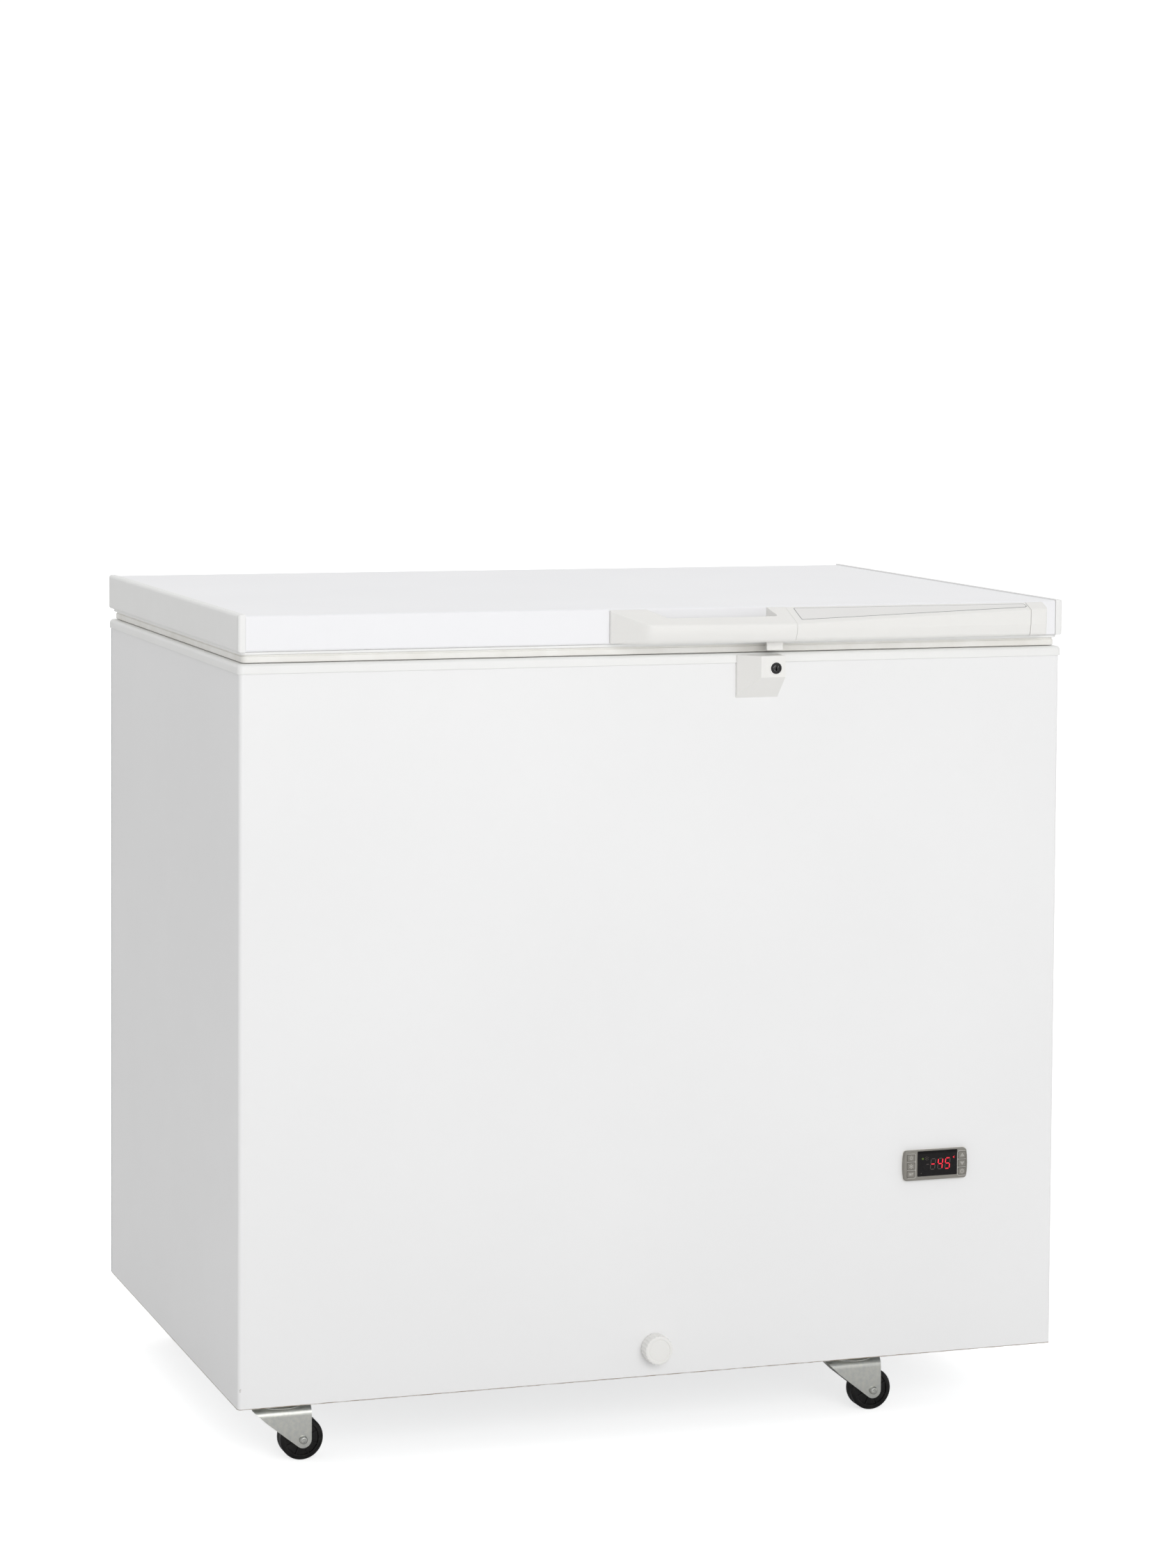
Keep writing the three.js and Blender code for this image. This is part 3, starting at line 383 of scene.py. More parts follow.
def pattern(tree, place, size, detail=3.0, fineness=0.5, ramp=None, kind="Noise", output=0, **settings):
    """A pattern with features of this many millimetres, spread by a ramp of (from, to, low, high)."""
    values = {"Scale": 1 / (size * MM)}
    if kind == "Noise":
        values.update({"Detail": detail, "Roughness": fineness})
    value = add_node(tree, "ShaderNodeTex" + kind, {"Vector": place}, values, **settings).outputs[output]
    if output == "Color":  # one channel of each cell's own colour
        value = add_node(tree, "ShaderNodeSeparateXYZ", {0: value}).outputs[0]
    if ramp:
        spread = dict(zip((1, 2, 3, 4), ramp))
        value = add_node(tree, "ShaderNodeMapRange", {0: value}, spread, clamp=True).outputs[0]
    return value


def surface(name, colour, tones, tint, gloss=None, relief=None, **values):
    """A principled surface whose values are the same all over it, apart from its patterns.

    The colour drifts between two tones with the tint, and the roughness follows the gloss. The relief is a
    bump's depth in millimetres, its strength and its pattern.
    """
    material = bpy.data.materials.new(name)
    material.use_nodes = True
    tree = material.node_tree
    shader = tree.nodes["Principled BSDF"]
    shader.inputs["Base Color"].default_value = linear(colour)
    for socket, value in values.items():
        shader.inputs[socket.replace("_", " ")].default_value = value
    place = add_node(tree, "ShaderNodeTexCoord").outputs["Object"]
    ends = {6: linear(tones[0]), 7: linear(tones[1])}
    tone = add_node(tree, "ShaderNodeMix", {0: pattern(tree, place, **tint)}, ends, data_type="RGBA")
    tree.links.new(tone.outputs[2], shader.inputs["Base Color"])
    if gloss:
        tree.links.new(pattern(tree, place, **gloss), shader.inputs["Roughness"])
    if relief:
        depth, strength, height = relief
        links = {"Height": pattern(tree, place, **height)}
        bump = add_node(tree, "ShaderNodeBump", links, {"Strength": strength, "Distance": depth * MM})
        tree.links.new(bump.outputs[0], shader.inputs["Normal"])
    return material


def worn_inside(tree, place, low, high, blur, wear):
    """The wear inside a box given in millimetres, fading out over the blur."""
    parts = add_node(tree, "ShaderNodeSeparateXYZ", {0: place}).outputs
    for part, start, end in zip(parts, low, high):
        for outside, inside in ((start - blur, start), (end + blur, end)):
            reach = {1: outside * MM, 2: inside * MM}
            within = add_node(tree, "ShaderNodeMapRange", {0: part}, reach, clamp=True).outputs[0]
            wear = add_node(tree, "ShaderNodeMath", {0: wear, 1: within}, operation="MULTIPLY").outputs[0]
    return wear


ORANGE_PEEL = (0.03, 0.35, dict(size=2.2, detail=2))


def coil_coated_steel():
    # Coil-coated sheet steel. The paint is rolled on: a satin white with faint orange peel. The bottom 0.7
    # mm is a dark, mottled brownish line along the edge, and a knock by the front left corner has chipped
    # the paint.
    gloss = dict(size=60, detail=2, ramp=(0.3, 0.7, 0.31, 0.39))
    tones = ("f5f5f5", "f0f0f0")
    values = {"Roughness": 0.34, "IOR": 1.5}
    material = surface("coil_coated_steel", "f3f3f3", tones, dict(size=240), gloss, ORANGE_PEEL, **values)
    tree = material.node_tree
    base = tree.nodes["Principled BSDF"].inputs["Base Color"]
    place = tree.nodes["Texture Coordinate"].outputs["Object"]
    x, y, bottom = shell_low
    # The bottom 0.7 mm of the sheet is painted a mottled brownish grey, a dark line along its bottom edge.
    bottom_band = pattern(tree, place, 14, 4, ramp=(0.3, 0.6, 0.45, 1.0))
    bottom_band = worn_inside(tree, place, (-900, -900, 0), (900, 900, bottom + 0.7), 0.25, bottom_band)
    chip = pattern(tree, place, 2, ramp=(0.42, 0.56, 0.0, 0.75))
    chip_low, chip_high = (x + 2.4, y - 1, bottom + 19), (x + 2.9, y + 1.5, bottom + 21)
    chip = worn_inside(tree, place, chip_low, chip_high, 0.9, chip)
    chip_and_bottom_band = add_node(tree, "ShaderNodeMath", {0: bottom_band, 1: chip}, operation="MAXIMUM").outputs[0]
    links = {0: chip_and_bottom_band, 6: base.links[0].from_socket}
    colour = add_node(tree, "ShaderNodeMix", links, {7: linear("8d7f6c")}, data_type="RGBA")
    tree.links.new(colour.outputs[2], base)
    return material


def zinc_plate():
    # Bright zinc-plated pressed steel: grey with a faint bluish passivation, rubbed and lightly scratched.
    tint = dict(size=4, detail=5, ramp=(0.3, 0.7, 0.0, 1.0))
    relief = (0.02, 0.3, dict(size=0.9))
    values = {"Metallic": 1.0, "Roughness": 0.34}
    material = surface("zinc_plate", "c9cac6", ("cfcfc8", "c0c2bf"), tint, None, relief, **values)
    tree = material.node_tree
    place = tree.nodes["Texture Coordinate"].outputs["Object"]
    stretched = add_node(tree, "ShaderNodeMapping", {"Vector": place}, {"Scale": (1.0, 1.0, 7.0)}).outputs[0]
    scratches = pattern(tree, stretched, 3, 6, 0.7, (0.35, 0.7, 0.3, 0.42))
    tree.links.new(scratches, tree.nodes["Principled BSDF"].inputs["Roughness"])
    return material


def galvanised_sheet():
    # Hot-dip galvanised sheet: dull grey metal in spangles of 6 to 10 mm, each with its own tone.
    spangle = dict(size=6, kind="Voronoi", output="Color")
    gloss = dict(ramp=(0.0, 1.0, 0.4, 0.46), **spangle)
    relief = (0.02, 0.3, dict(size=6, kind="Voronoi"))
    values = {"Metallic": 0.9, "Roughness": 0.42}
    return surface("galvanised_sheet", "b4b7b9", ("bcbfc1", "b1b4b7"), spangle, gloss, relief, **values)


def worn_metal(name, colour, tones, tint, gloss, roughness):
    """Bare or plated metal with patches of wear, brighter where it is rubbed."""
    return surface(name, colour, tones, tint, gloss, Metallic=1.0, Roughness=roughness)


def moulded(name, light, dark, roughness, grain, depth, size=90):
    """Injection-moulded plastic: a nearly even colour with the tool's fine spark texture."""
    wear = dict(size=size / 4, detail=4, ramp=(0.35, 0.7, roughness - 0.04, roughness + 0.05))
    relief = (depth, 0.5, dict(size=grain, detail=2))
    values = {"Roughness": roughness, "IOR": 1.46}
    return surface(name, light, (light, dark), dict(size=size), wear, relief, **values)


def lamp(name, face, glow, strength):
    """A light-emitting face behind the window, a little uneven in its glow."""
    values = {"Roughness": 0.4, "Emission_Color": linear(glow), "Emission_Strength": strength}
    return surface(name, face, (face, glow), dict(size=3), **values)


def studio_paper():
    # Pale studio paper, matt, with a barely visible tooth. It glows to the camera only, and so looks white.
    material = surface("studio_paper", "e6e6e6", ("e7e7e7", "e5e5e5"), dict(size=300), Roughness=0.9)
    tree = material.node_tree
    shader = tree.nodes["Principled BSDF"]
    shader.inputs["Emission Color"].default_value = linear("ffffff")
    seen = add_node(tree, "ShaderNodeLightPath").outputs["Is Camera Ray"]
    reach = {1: 0.0, 2: 1.0, 3: 0.0, 4: FLOOR_GLOW}
    glow = add_node(tree, "ShaderNodeMapRange", {0: seen}, reach, clamp=True).outputs[0]
    tree.links.new(glow, shader.inputs["Emission Strength"])
    return material


steel = coil_coated_steel()
zinc = zinc_plate()
galvanised = galvanised_sheet()
# The same coated sheet on the lid, a shade cooler, with the faint wipe marks of a lid in use.
lid_paint = surface(
    "lid_coated_steel", "f4f4f6", ("f5f5f7", "f3f3f5"), dict(size=260, detail=2),
    dict(size=90, detail=2, ramp=(0.3, 0.7, 0.33, 0.37)), ORANGE_PEEL, Roughness=0.3, IOR=1.5,
)
# Rim, end caps and grille: ABS, white like the steel beside it, a little softer in gloss.
white_abs = moulded("white_abs", "f4f4f3", "f0f0ee", 0.4, 0.9, 0.02)
# Handle, lock housing and drain cap: warm white ABS with a fine matt texture.
warm_abs = moulded("handle_abs", "f1f0ed", "eeedea", 0.46, 0.8, 0.03, 60)
# Lid seal: soft extruded PVC, warm off-white, satin, a little greyer where it is handled.
gasket_vinyl = surface(
    "gasket_pvc", "f3f2ee", ("f4f3ef", "ebe9e3"), dict(size=35, detail=4, ramp=(0.4, 0.75, 0.0, 1.0)),
    None, (0.05, 0.5, dict(size=1.4)), Roughness=0.5, IOR=1.53,
)
# Inner tank: stucco-embossed aluminium sheet, painted white; the stucco catches the light.
stucco = surface(
    "tank_stucco", "f0f1f1", ("f2f3f3", "e9ebec"), dict(size=160),
    None, (0.5, 0.35, dict(size=5, kind="Voronoi", feature="SMOOTH_F1")), Roughness=0.26, IOR=1.5,
)
# Foamed-in polyurethane: pale yellow, dry, with fine closed cells.
foam = surface(
    "urethane_foam", "e6d9a6", ("ebdfb0", "dccb91"), dict(size=30, detail=4),
    None, (0.4, 0.6, dict(size=1.2, kind="Voronoi")), Roughness=0.95,
)
# Caster wheel: black polypropylene, semi-matt, greyed with dust.
DUST = dict(size=6, detail=6, fineness=0.65)
nylon = surface(
    "wheel_polypropylene", "100f0f", ("100f0f", "3d3933"), dict(ramp=(0.52, 0.85, 0.0, 0.5), **DUST),
    dict(ramp=(0.52, 0.85, 0.32, 0.7), **DUST), (0.06, 0.5, dict(size=1.5, detail=4)),
    Roughness=0.36, IOR=1.38,
)
# Fan, controller case, gland: plain black moulded plastic, slightly dusty.
black_plastic = moulded("black_abs", "1e1e1f", "29282a", 0.5, 0.8, 0.03, 25)
# Controller bezel: grey polycarbonate, satin, with a slight warm metallic cast.
bezel_grey = moulded("bezel_polycarbonate", "8c8982", "827f78", 0.42, 0.5, 0.015, 12)
# Keys: grey silicone pads, matt and slightly darker than the bezel.
key_grey = moulded("key_silicone", "86837c", "7c7972", 0.6, 0.4, 0.02, 8)
# Display window: smoked acrylic, nearly black and glossy, with a faint dust on the face.
FACE_DUST = dict(size=3, detail=5, fineness=0.7)
smoked = surface(
    "smoked_acrylic", "151314", ("151314", "232121"), dict(ramp=(0.55, 0.8, 0.0, 1.0), **FACE_DUST),
    dict(ramp=(0.55, 0.8, 0.05, 0.15), **FACE_DUST), Roughness=0.06, IOR=1.3,
)
# Lock plug: black nickel plate over zinc, bright, worn paler round the keyway.
RUBBING = dict(size=1.2, detail=5, fineness=0.7)
black_nickel = worn_metal(
    "black_nickel_plate", "4a4a4c", ("434345", "8d8c8a"), dict(ramp=(0.45, 0.75, 0.0, 1.0), **RUBBING),
    dict(ramp=(0.45, 0.75, 0.15, 0.35), **RUBBING), 0.2,
)
# Hinge pins and springs: oiled spring steel, dark and smooth along the wire.
oiled_steel = worn_metal(
    "oiled_spring_steel", "85878a", ("8f9194", "6c6d70"), dict(size=7, detail=5),
    dict(size=3, detail=4, ramp=(0.3, 0.7, 0.22, 0.42)), 0.3,
)
# Refrigerant tubes: drawn copper, browned by handling and brazing.
copper = worn_metal(
    "drawn_copper", "b46f45", ("bd774b", "7d4a31"), dict(size=14, detail=5, ramp=(0.35, 0.7, 0.0, 1.0)),
    dict(size=6, detail=4, ramp=(0.3, 0.7, 0.24, 0.45)), 0.32,
)
# Condenser fins: mill-finish aluminium, dusty, thin sheets 3 mm apart; a wave repeats 6.3 times in its size.
fins = surface(
    "fin_aluminium", "c4c7c9", ("cdd0d2", "a9a8a3"), dict(size=18, detail=5), None,
    (0.8, 0.8, dict(size=3 * 6.3, kind="Wave", output="Fac", bands_direction="Z")),
    Metallic=0.9, Roughness=0.4,
)
# Compressor: black stoving enamel over pressed steel, glossy with a slight orange peel.
enamel = surface(
    "black_stoving_enamel", "161616", ("141414", "232221"), dict(size=25, detail=4),
    None, (0.06, 0.5, dict(size=3, detail=2)), Roughness=0.3, IOR=1.5,
)
# Pad-printed symbols and lines: light grey ink, slightly uneven in cover.
pale_ink = moulded("pad_print_ink", "d8d6d0", "c4c2bb", 0.55, 0.3, 0.01, 2)
# The thin printed line round the label on the handle: dark grey ink.
dark_ink = moulded("label_line_ink", "6c6d70", "7d7e80", 0.5, 0.3, 0.01, 10)
# Label: a self-adhesive silver-white film, flat and a little glossier than the handle.
film = moulded("label_film", "ecebe9", "e7e6e4", 0.33, 1.5, 0.01, 40)
# Display: red digits, a green dot, and the segments that are off.
lit_red = lamp("display_red_lit", "7c0c18", "f4243a", 1.15)
lit_green = lamp("display_green_lit", "26300c", "5d7a1c", 0.16)
unlit = moulded("display_segment_unlit", "4b423e", "423a37", 0.4, 0.4, 0.01, 3)


# ---------------------------------------------------------------- sweeps and small repeated pieces
def revolved(name, axis, centre, section, sides=64):
    """A closed section of (radius, place along the axis) carried once round the axis."""
    rings = []
    for i in range(sides):
        a = 2 * math.pi * i / sides
        ring = []
        for radius, along in section:
            u = centre[0] + radius * math.cos(a)
            v = centre[1] + radius * math.sin(a)
            ring.append(lay(axis, [(u, v)], along)[0])
        rings.append(ring)
    return loft(name, rings, closed=True)


RIM_CORNER = 6


def swept_frame(name, x_half, y_span, corner, section, steps=8):
    """A closed section of (distance outwards, height) carried round a rectangle with rounded corners."""
    y0, y1 = y_span
    rings = []
    for turn, (sx, sy) in enumerate(((1, -1), (1, 1), (-1, 1), (-1, -1))):
        cx = sx * (x_half - corner)
        cy = (y0 + corner) if sy < 0 else (y1 - corner)
        for step in range(steps + 1):
            a = math.radians(-90 + 90 * turn + 90 * step / steps)
            ring = []
            for out, z in section:
                reach = corner + out
                way = (math.cos(a), math.sin(a)) if reach > 0 else (sx, sy)
                ring.append((cx + reach * way[0], cy + reach * way[1], z))
            rings.append(ring)
    return loft(name, rings, closed=True)


def pan_head_screw(name, centre, outward, radius=3.6):
    """A cross-recessed pan head, its face towards outward, an axis name with a sign."""
    axis, sign = outward[1], (1 if outward[0] == "+" else -1)
    x, y, z = centre
    at, base = {"x": ((y, z), x), "y": ((x, z), y), "z": ((x, y), z)}[axis]
    heights = ((radius, 0.0), (radius, 0.9), (radius * 0.86, 1.6), (radius * 0.5, 2.0))
    head = turned(name, axis, at, [(r, base + sign * h) for r, h in heights], 24)
    for wide, tall in ((0.45, 0.62 * radius), (0.62 * radius, 0.45)):
        cross = rectangle((at[0] - wide, at[0] + wide), (at[1] - tall, at[1] + tall))
        carve(head, prism("recess", axis, cross, (base + sign * 1.0, base + sign * 2.6)))
    return head


# ---------------------------------------------------------------- cabinet
def build_cabinet():
    finish_refined("cabinet_shell", 0, "cabinet", "white_painted_steel", steel)

    top, skirt, lip, wall = rim_high.z, rim_high.z - 10, rim_low.z, 1.7
    mouth = -(rim_high.x - liner_high.x) - 3
    corners = [(0, skirt, 0.4), (0, top, 4), (mouth, top, 1.2), (mouth, lip, 0.6), (mouth + wall, lip, 0.6)]
    corners += [(mouth + wall, top - 3, 0), (-wall, top - 3, 0), (-wall, skirt, 0.4)]
    section = rounded(corners, steps=4)
    rim = swept_frame("rim_moulding", rim_high.x, (rim_low.y, rim_high.y), RIM_CORNER, section)
    finish_piece(rim, "cabinet", "white_plastic", white_abs, "rim_frame")

    finish_refined("rear_panel", 0, "cabinet", "galvanised_steel", galvanised)
    rear_low, rear_high = extent("rear_panel")
    rows = [rear_low.z + 20 + i * (rear_high.z - rear_low.z - 40) / 4 for i in range(5)]
    screws = []
    for x in (rear_low.x + 9, rear_high.x - 9):
        for z in rows:
            screws.append(pan_head_screw("screw", (x, rear_high.y, z), "+y"))
    finish_piece(gather("rear_panel_screws", screws), "cabinet", "zinc_plated_steel", zinc)

    finish_refined("side_grille", 0.4, "cabinet", "white_plastic", white_abs)
    finish_refined("cord_gland", 0.6, "cabinet", "black_plastic", black_plastic)


def build_tank():
    """The stepped inner tank: two blocks united, their edges rounded, opened at the top and given a wall."""
    wall, fold_radius = 1.0, 9
    high, low = liner_high, liner_low
    step_x, step_z = 110, low.z + 231
    x0, x1 = low.x + wall, high.x - wall
    y0, y1 = low.y + wall, high.y - wall
    over = block("inner_tank", (x0, y0, step_z), (x1, y1, high.z))
    well = block("well", (x0, y0, low.z + wall), (step_x, y1, high.z))
    tank = fuse(over, well)
    top = high.z * MM

    def is_fold(edge):
        below = all(v.co.z < top - NEAR for v in edge.verts)
        upright = abs(edge.verts[0].co.z - edge.verts[1].co.z) > 10 * NEAR
        corner = len(edge.link_faces) == 2 and edge.calc_face_angle(0) > 0.5
        return corner and edge.is_convex and (below or upright)

    round_edges(tank, fold_radius, 5, is_fold)
    edit(tank)
    pick(tank, "FACE", lambda face: face.normal.z > 0.9 and face.calc_center_median().z > top - NEAR)
    bpy.ops.mesh.delete(type="FACE")
    leave_edit()
    modify(tank, "SOLIDIFY", thickness=wall * MM, offset=1)
    finish_piece(tank, "cabinet", "tank_enamel", stucco, "inner_liner")

    pipe_low, pipe_high = extent("drain_pipe")
    inlet = ((pipe_low.x + pipe_high.x) / 2, pipe_high.y - 10)
    floor, holes = low.z + wall, 6
    heights = ((15, 0.1), (15, 1.2), (13.6, 2.0), (8, 2.2), (7.6, 1.4), (2, 1.4))
    strainer = turned("tank_drain_strainer", "z", inlet, [(r, floor + h) for r, h in heights], 40)
    for centre in circle(inlet, 5, holes):
        carve(strainer, prism("hole", "z", circle(centre, 1.3, 16), (floor + 0.5, floor + 4)))
    finish_piece(strainer, "cabinet", "white_plastic", white_abs)


# ---------------------------------------------------------------- lid
def build_lid():
    finish_refined("lid_skin", 0, "lid", "white_painted_steel", lid_paint)
    finish_refined("lid_pan", 0.35, "lid", "white_plastic", white_abs)

    low, high, width, step = gasket_low.z, gasket_high.z, 16, 1.0
    corners = [(0, low, 1.2), (0, high - 1.9, 0.9), (-step, high - 1.5, 0.2)]
    corners += [(-step, high, 0.3), (-width, high, 0.5), (-width, low, 1.2)]
    y_span = (gasket_low.y, gasket_high.y)
    seal = swept_frame("lid_seal", gasket_high.x, y_span, RIM_CORNER, rounded(corners, steps=4))
    finish_piece(seal, "lid", "gasket_vinyl", gasket_vinyl, "lid_gasket")

    for side, sign in (("left", -1), ("right", 1)):
        build_end_cap(side, sign)


def build_end_cap(side, sign):
    """A cap with its outer edges rounded and a fine groove along its top."""
    node = "lid_end_cap_" + side
    low, high = extent(node)
    outer = (high.x if sign > 0 else low.x) * MM
    cap = block("end_cap_" + side, low, high)
    round_edges(cap, 3.2, 5, lambda edge: all(abs(v.co.x - outer) < NEAR for v in edge.verts))
    groove_x, half = outer / MM - sign * 5.2, 0.35
    groove_low = (groove_x - half, low.y - 2, high.z - 0.5)
    groove_high = (groove_x + half, high.y + 2, high.z + 2)
    carve(cap, block("groove", groove_low, groove_high))
    soften(cap, 0.25, 2)
    finish_piece(cap, "lid", "white_plastic", white_abs, node)


# ---------------------------------------------------------------- handle
HANDLE_SLOPE = 0.42
GRIP_START, GRIP_DEPTH = -27, 33
RAMP_DEPTH, END_DEPTH = 4, 14
SEAM_DEPTH = -(grip_low.y - grip_high.y)


def handle_depth(x):
    """How far the handle stands out: up the ramp, along the grip, then tapering over the cover."""
    ramp = RAMP_DEPTH + (x - grip_low.x) * (GRIP_DEPTH - RAMP_DEPTH) / (GRIP_START - grip_low.x)
    grip = GRIP_DEPTH + (x - GRIP_START) * (SEAM_DEPTH - GRIP_DEPTH) / (grip_high.x - GRIP_START)
    taper = SEAM_DEPTH - (x - cover_low.x) * (SEAM_DEPTH - END_DEPTH) / (cover_high.x - cover_low.x)
    return min(ramp, grip, taper)


def handle_ring(x, depth):
    """The handle's section: flat on the lid, sloping on top, full and round under the fingers."""
    back, low, high = grip_high.y, grip_low.z, grip_high.z
    size = min(1.0, depth / GRIP_DEPTH)
    corners = [
        (0, low, 0),
        (0.86 * depth, low, 9 * size),
        (depth, low + 12, 20 * size),
        (depth, high - HANDLE_SLOPE * depth, 2.6 * size),
        (0, high, 0),
    ]
    return [(x, back - p, z) for p, z in rounded(corners, steps=6)]


def handle_bar(name, stations):
    return loft(name, [handle_ring(x, depth) for x, depth in stations])


def facet_plate(name, outline, low, high):
    """A thin plate on the handle's sloping top; its outline is (x, distance from the lid)."""
    lean = math.atan(HANDLE_SLOPE)
    rings = []
    for lift in (low, high):
        up, out = lift * math.cos(lean), lift * math.sin(lean)
        rings.append([(x, grip_high.y - p - out, grip_high.z - HANDLE_SLOPE * p + up) for x, p in outline])
    return loft(name, rings)


def build_handle():
    turn_in, turn_out = GRIP_START - 5, GRIP_START + 7
    stations = [(grip_low.x, RAMP_DEPTH), (turn_in, handle_depth(turn_in))]
    for t in (0.2, 0.4, 0.6, 0.8):
        x = (1 - t) ** 2 * turn_in + 2 * t * (1 - t) * GRIP_START + t**2 * turn_out
        depths = handle_depth(turn_in), GRIP_DEPTH, handle_depth(turn_out)
        stations.append((x, (1 - t) ** 2 * depths[0] + 2 * t * (1 - t) * depths[1] + t**2 * depths[2]))
    stations += [(turn_out, handle_depth(turn_out)), (grip_high.x, handle_depth(grip_high.x))]
    grip = handle_bar("handle_grip_moulding", stations)
    back = grip_high.y
    inner = back - 19
    slot = rounded([(-21.5, back + 2, 0), (-3, inner, 4), (119, inner, 3), (112, back + 2, 0)])
    carve(grip, prism("finger_gap", "z", slot, (grip_low.z - 3, grip_high.z + 3)))
    soften(grip, 0.7, 3, 50)
    finish_piece(grip, "lid", "handle_plastic", warm_abs, "handle_grip")

    split = cover_high.x - 20
    cover = handle_bar("handle_cover_moulding", [(x, handle_depth(x)) for x in (cover_low.x, split)])
    soften(cover, 0.7, 3, 50)
    finish_piece(cover, "lid", "handle_plastic", warm_abs, "handle_cover")
    ends = [(split + 0.3, 0.0), (cover_high.x - 3, 0.0), (cover_high.x - 1.2, 0.5), (cover_high.x, 1.6)]
    tip = handle_bar("handle_end_piece", [(x, handle_depth(x) - back_off) for x, back_off in ends])
    soften(tip, 0.35, 2, 50)
    finish_piece(tip, "lid", "handle_plastic", warm_abs)

    left, right = cover_low.x + 8, split - 2
    layers = (("label_outline", 0.0, 0.1, dark_ink), ("label_panel", 0.55, 0.16, film))
    for name, margin, lift, material in layers:
        corners = [(left + margin, 3 + margin, 1.5), (right - margin, 3 + margin, 3)]
        corners += [(right - margin, handle_depth(right) - 5.5 - margin, 3)]
        corners += [(left + margin, handle_depth(left) - 8 - margin, 1.5)]
        plate = facet_plate(name, rounded(corners), -0.3, lift)
        finish_piece(plate, "lid", "handle_plastic", material)

    finish_refined("striker_tab", 0.9, "lid", "handle_plastic", warm_abs, 3)


# ---------------------------------------------------------------- lock
def housing_block(name, inset):
    """The housing's outer form, or its hollow when inset by the wall: a block with two slanted sides."""
    front, back = lock_low.y + inset, shell_low.y
    low = (lock_low.x + inset, front, lock_low.z + inset)
    high = (lock_high.x - inset, back, lock_high.z - inset)
    body = block(name, low, high)
    depth, edge = front - back, 4 - inset
    flat_x, flat_z = lock_low.x + 19.5 + inset, lock_high.z - 22.5 + inset
    run_x, run_z = flat_x - low[0], flat_z - low[2]
    drop = -depth - edge
    slice_off(body, (flat_x, front, 0), (-drop, -run_x, 0))
    slice_off(body, (0, front, flat_z), (0, -run_z, -drop))
    return body


def build_lock():
    housing = housing_block("lock_case", 0)
    soften(housing, 2.0, 4, 12)
    carve(housing, housing_block("room", 2.5))
    axis = (lock_high.x - 10.5, rim_high.z - 14.5)
    mouth = (lock_low.y - 2, lock_low.y + 6)
    collar = [(7.6, lock_low.y + 1), (7.4, lock_low.y - 0.3), (6.9, lock_low.y - 0.6)]
    fuse(housing, turned("collar", "y", axis, collar))
    carve(housing, prism("barrel_hole", "y", circle(axis, 6.0), mouth))
    slot_low = (lock_low.x + 6.5, shell_low.y - 10, lock_high.z - 5)
    slot_high = (lock_high.x - 2.5, shell_low.y - 5, lock_high.z + 1)
    carve(housing, block("striker_slot", slot_low, slot_high))
    notch_low = (lock_low.x - 1, rim_low.y - 0.3, rim_high.z - 10.3)
    notch_high = (lock_high.x + 1, shell_low.y + 1, lock_high.z + 1)
    carve(housing, block("rim_notch", notch_low, notch_high))
    finish_piece(housing, "cabinet", "handle_plastic", warm_abs, "lock_housing")

    face = extent("lock_barrel")[0].y
    ring_section = rounded([(4.1, face + 8, 0), (5.7, face + 8, 0), (5.7, face, 0.8), (4.1, face, 0.5)], 3)
    ring = revolved("lock_ring", "y", axis, ring_section, 48)
    finish_piece(ring, "lock_cam", "black_plastic", black_plastic)
    profile = [(4.0, face + 8), (4.0, face + 0.5), (3.6, face + 0.1), (2.4, face)]
    plug = turned("lock_plug", "y", axis, profile)
    x, z = axis
    keyway = block("keyway", (x - 0.8, face - 2, z - 3.1), (x + 0.8, face + 4, z + 2.2))
    carve(plug, keyway, prism("keyway_end", "y", circle((x, z + 2.2), 1.3, 20), (face - 2, face + 4)))
    finish_piece(plug, "lock_cam", "chrome_plate", black_nickel)
    cam = refined("lock_barrel", 0.25)
    carve(cam, block("plug_room", (x - 8, face - 2, z - 8), (x + 8, face + 8.2, z + 8)))
    finish_piece(cam, "lock_cam", "zinc_plated_steel", zinc, "lock_barrel")


# ---------------------------------------------------------------- drain cap
def build_drain_cap():
    flutes, around = 24, 192
    x, z = (knob_low.x + knob_high.x) / 2, (knob_low.z + knob_high.z) / 2
    back, front = knob_high.y, knob_low.y
    radius = (knob_high.x - knob_low.x) / 2
    rings = []
    for r, y, flute in (
        (radius - 0.5, back, 0.3),
        (radius, back - 0.6, 0.35),
        (radius, front + 1.8, 0.35),
        (radius - 0.4, front + 0.7, 0.3),
        (radius - 1.5, front + 0.1, 0.1),
        (radius - 2.3, front, 0.0),
        (radius - 3.4, front, 0.0),
        (radius - 3.8, front + 0.7, 0.0),
        (radius - 4.8, front + 0.7, 0.0),
        (radius - 5.4, front + 0.25, 0.0),
        (radius - 9, front + 0.1, 0.0),
    ):
        ring = []
        for i in range(around):
            a = 2 * math.pi * i / around
            reach = r - flute * (1 - math.cos(flutes * a))
            ring.append((x + reach * math.cos(a), y, z + reach * math.sin(a)))
        rings.append(ring)
    cap = loft("drain_knob", rings)
    carve(cap, prism("socket", "y", circle((x, z), 10.4), (back - 13.6, back + 1)))
    finish_piece(cap, "drain_cap", "handle_plastic", warm_abs, "drain_cap")


# ---------------------------------------------------------------- controller
PANEL = Vector(((bezel_low.x + bezel_high.x) / 2, bezel_low.y, (bezel_low.z + bezel_high.z) / 2))


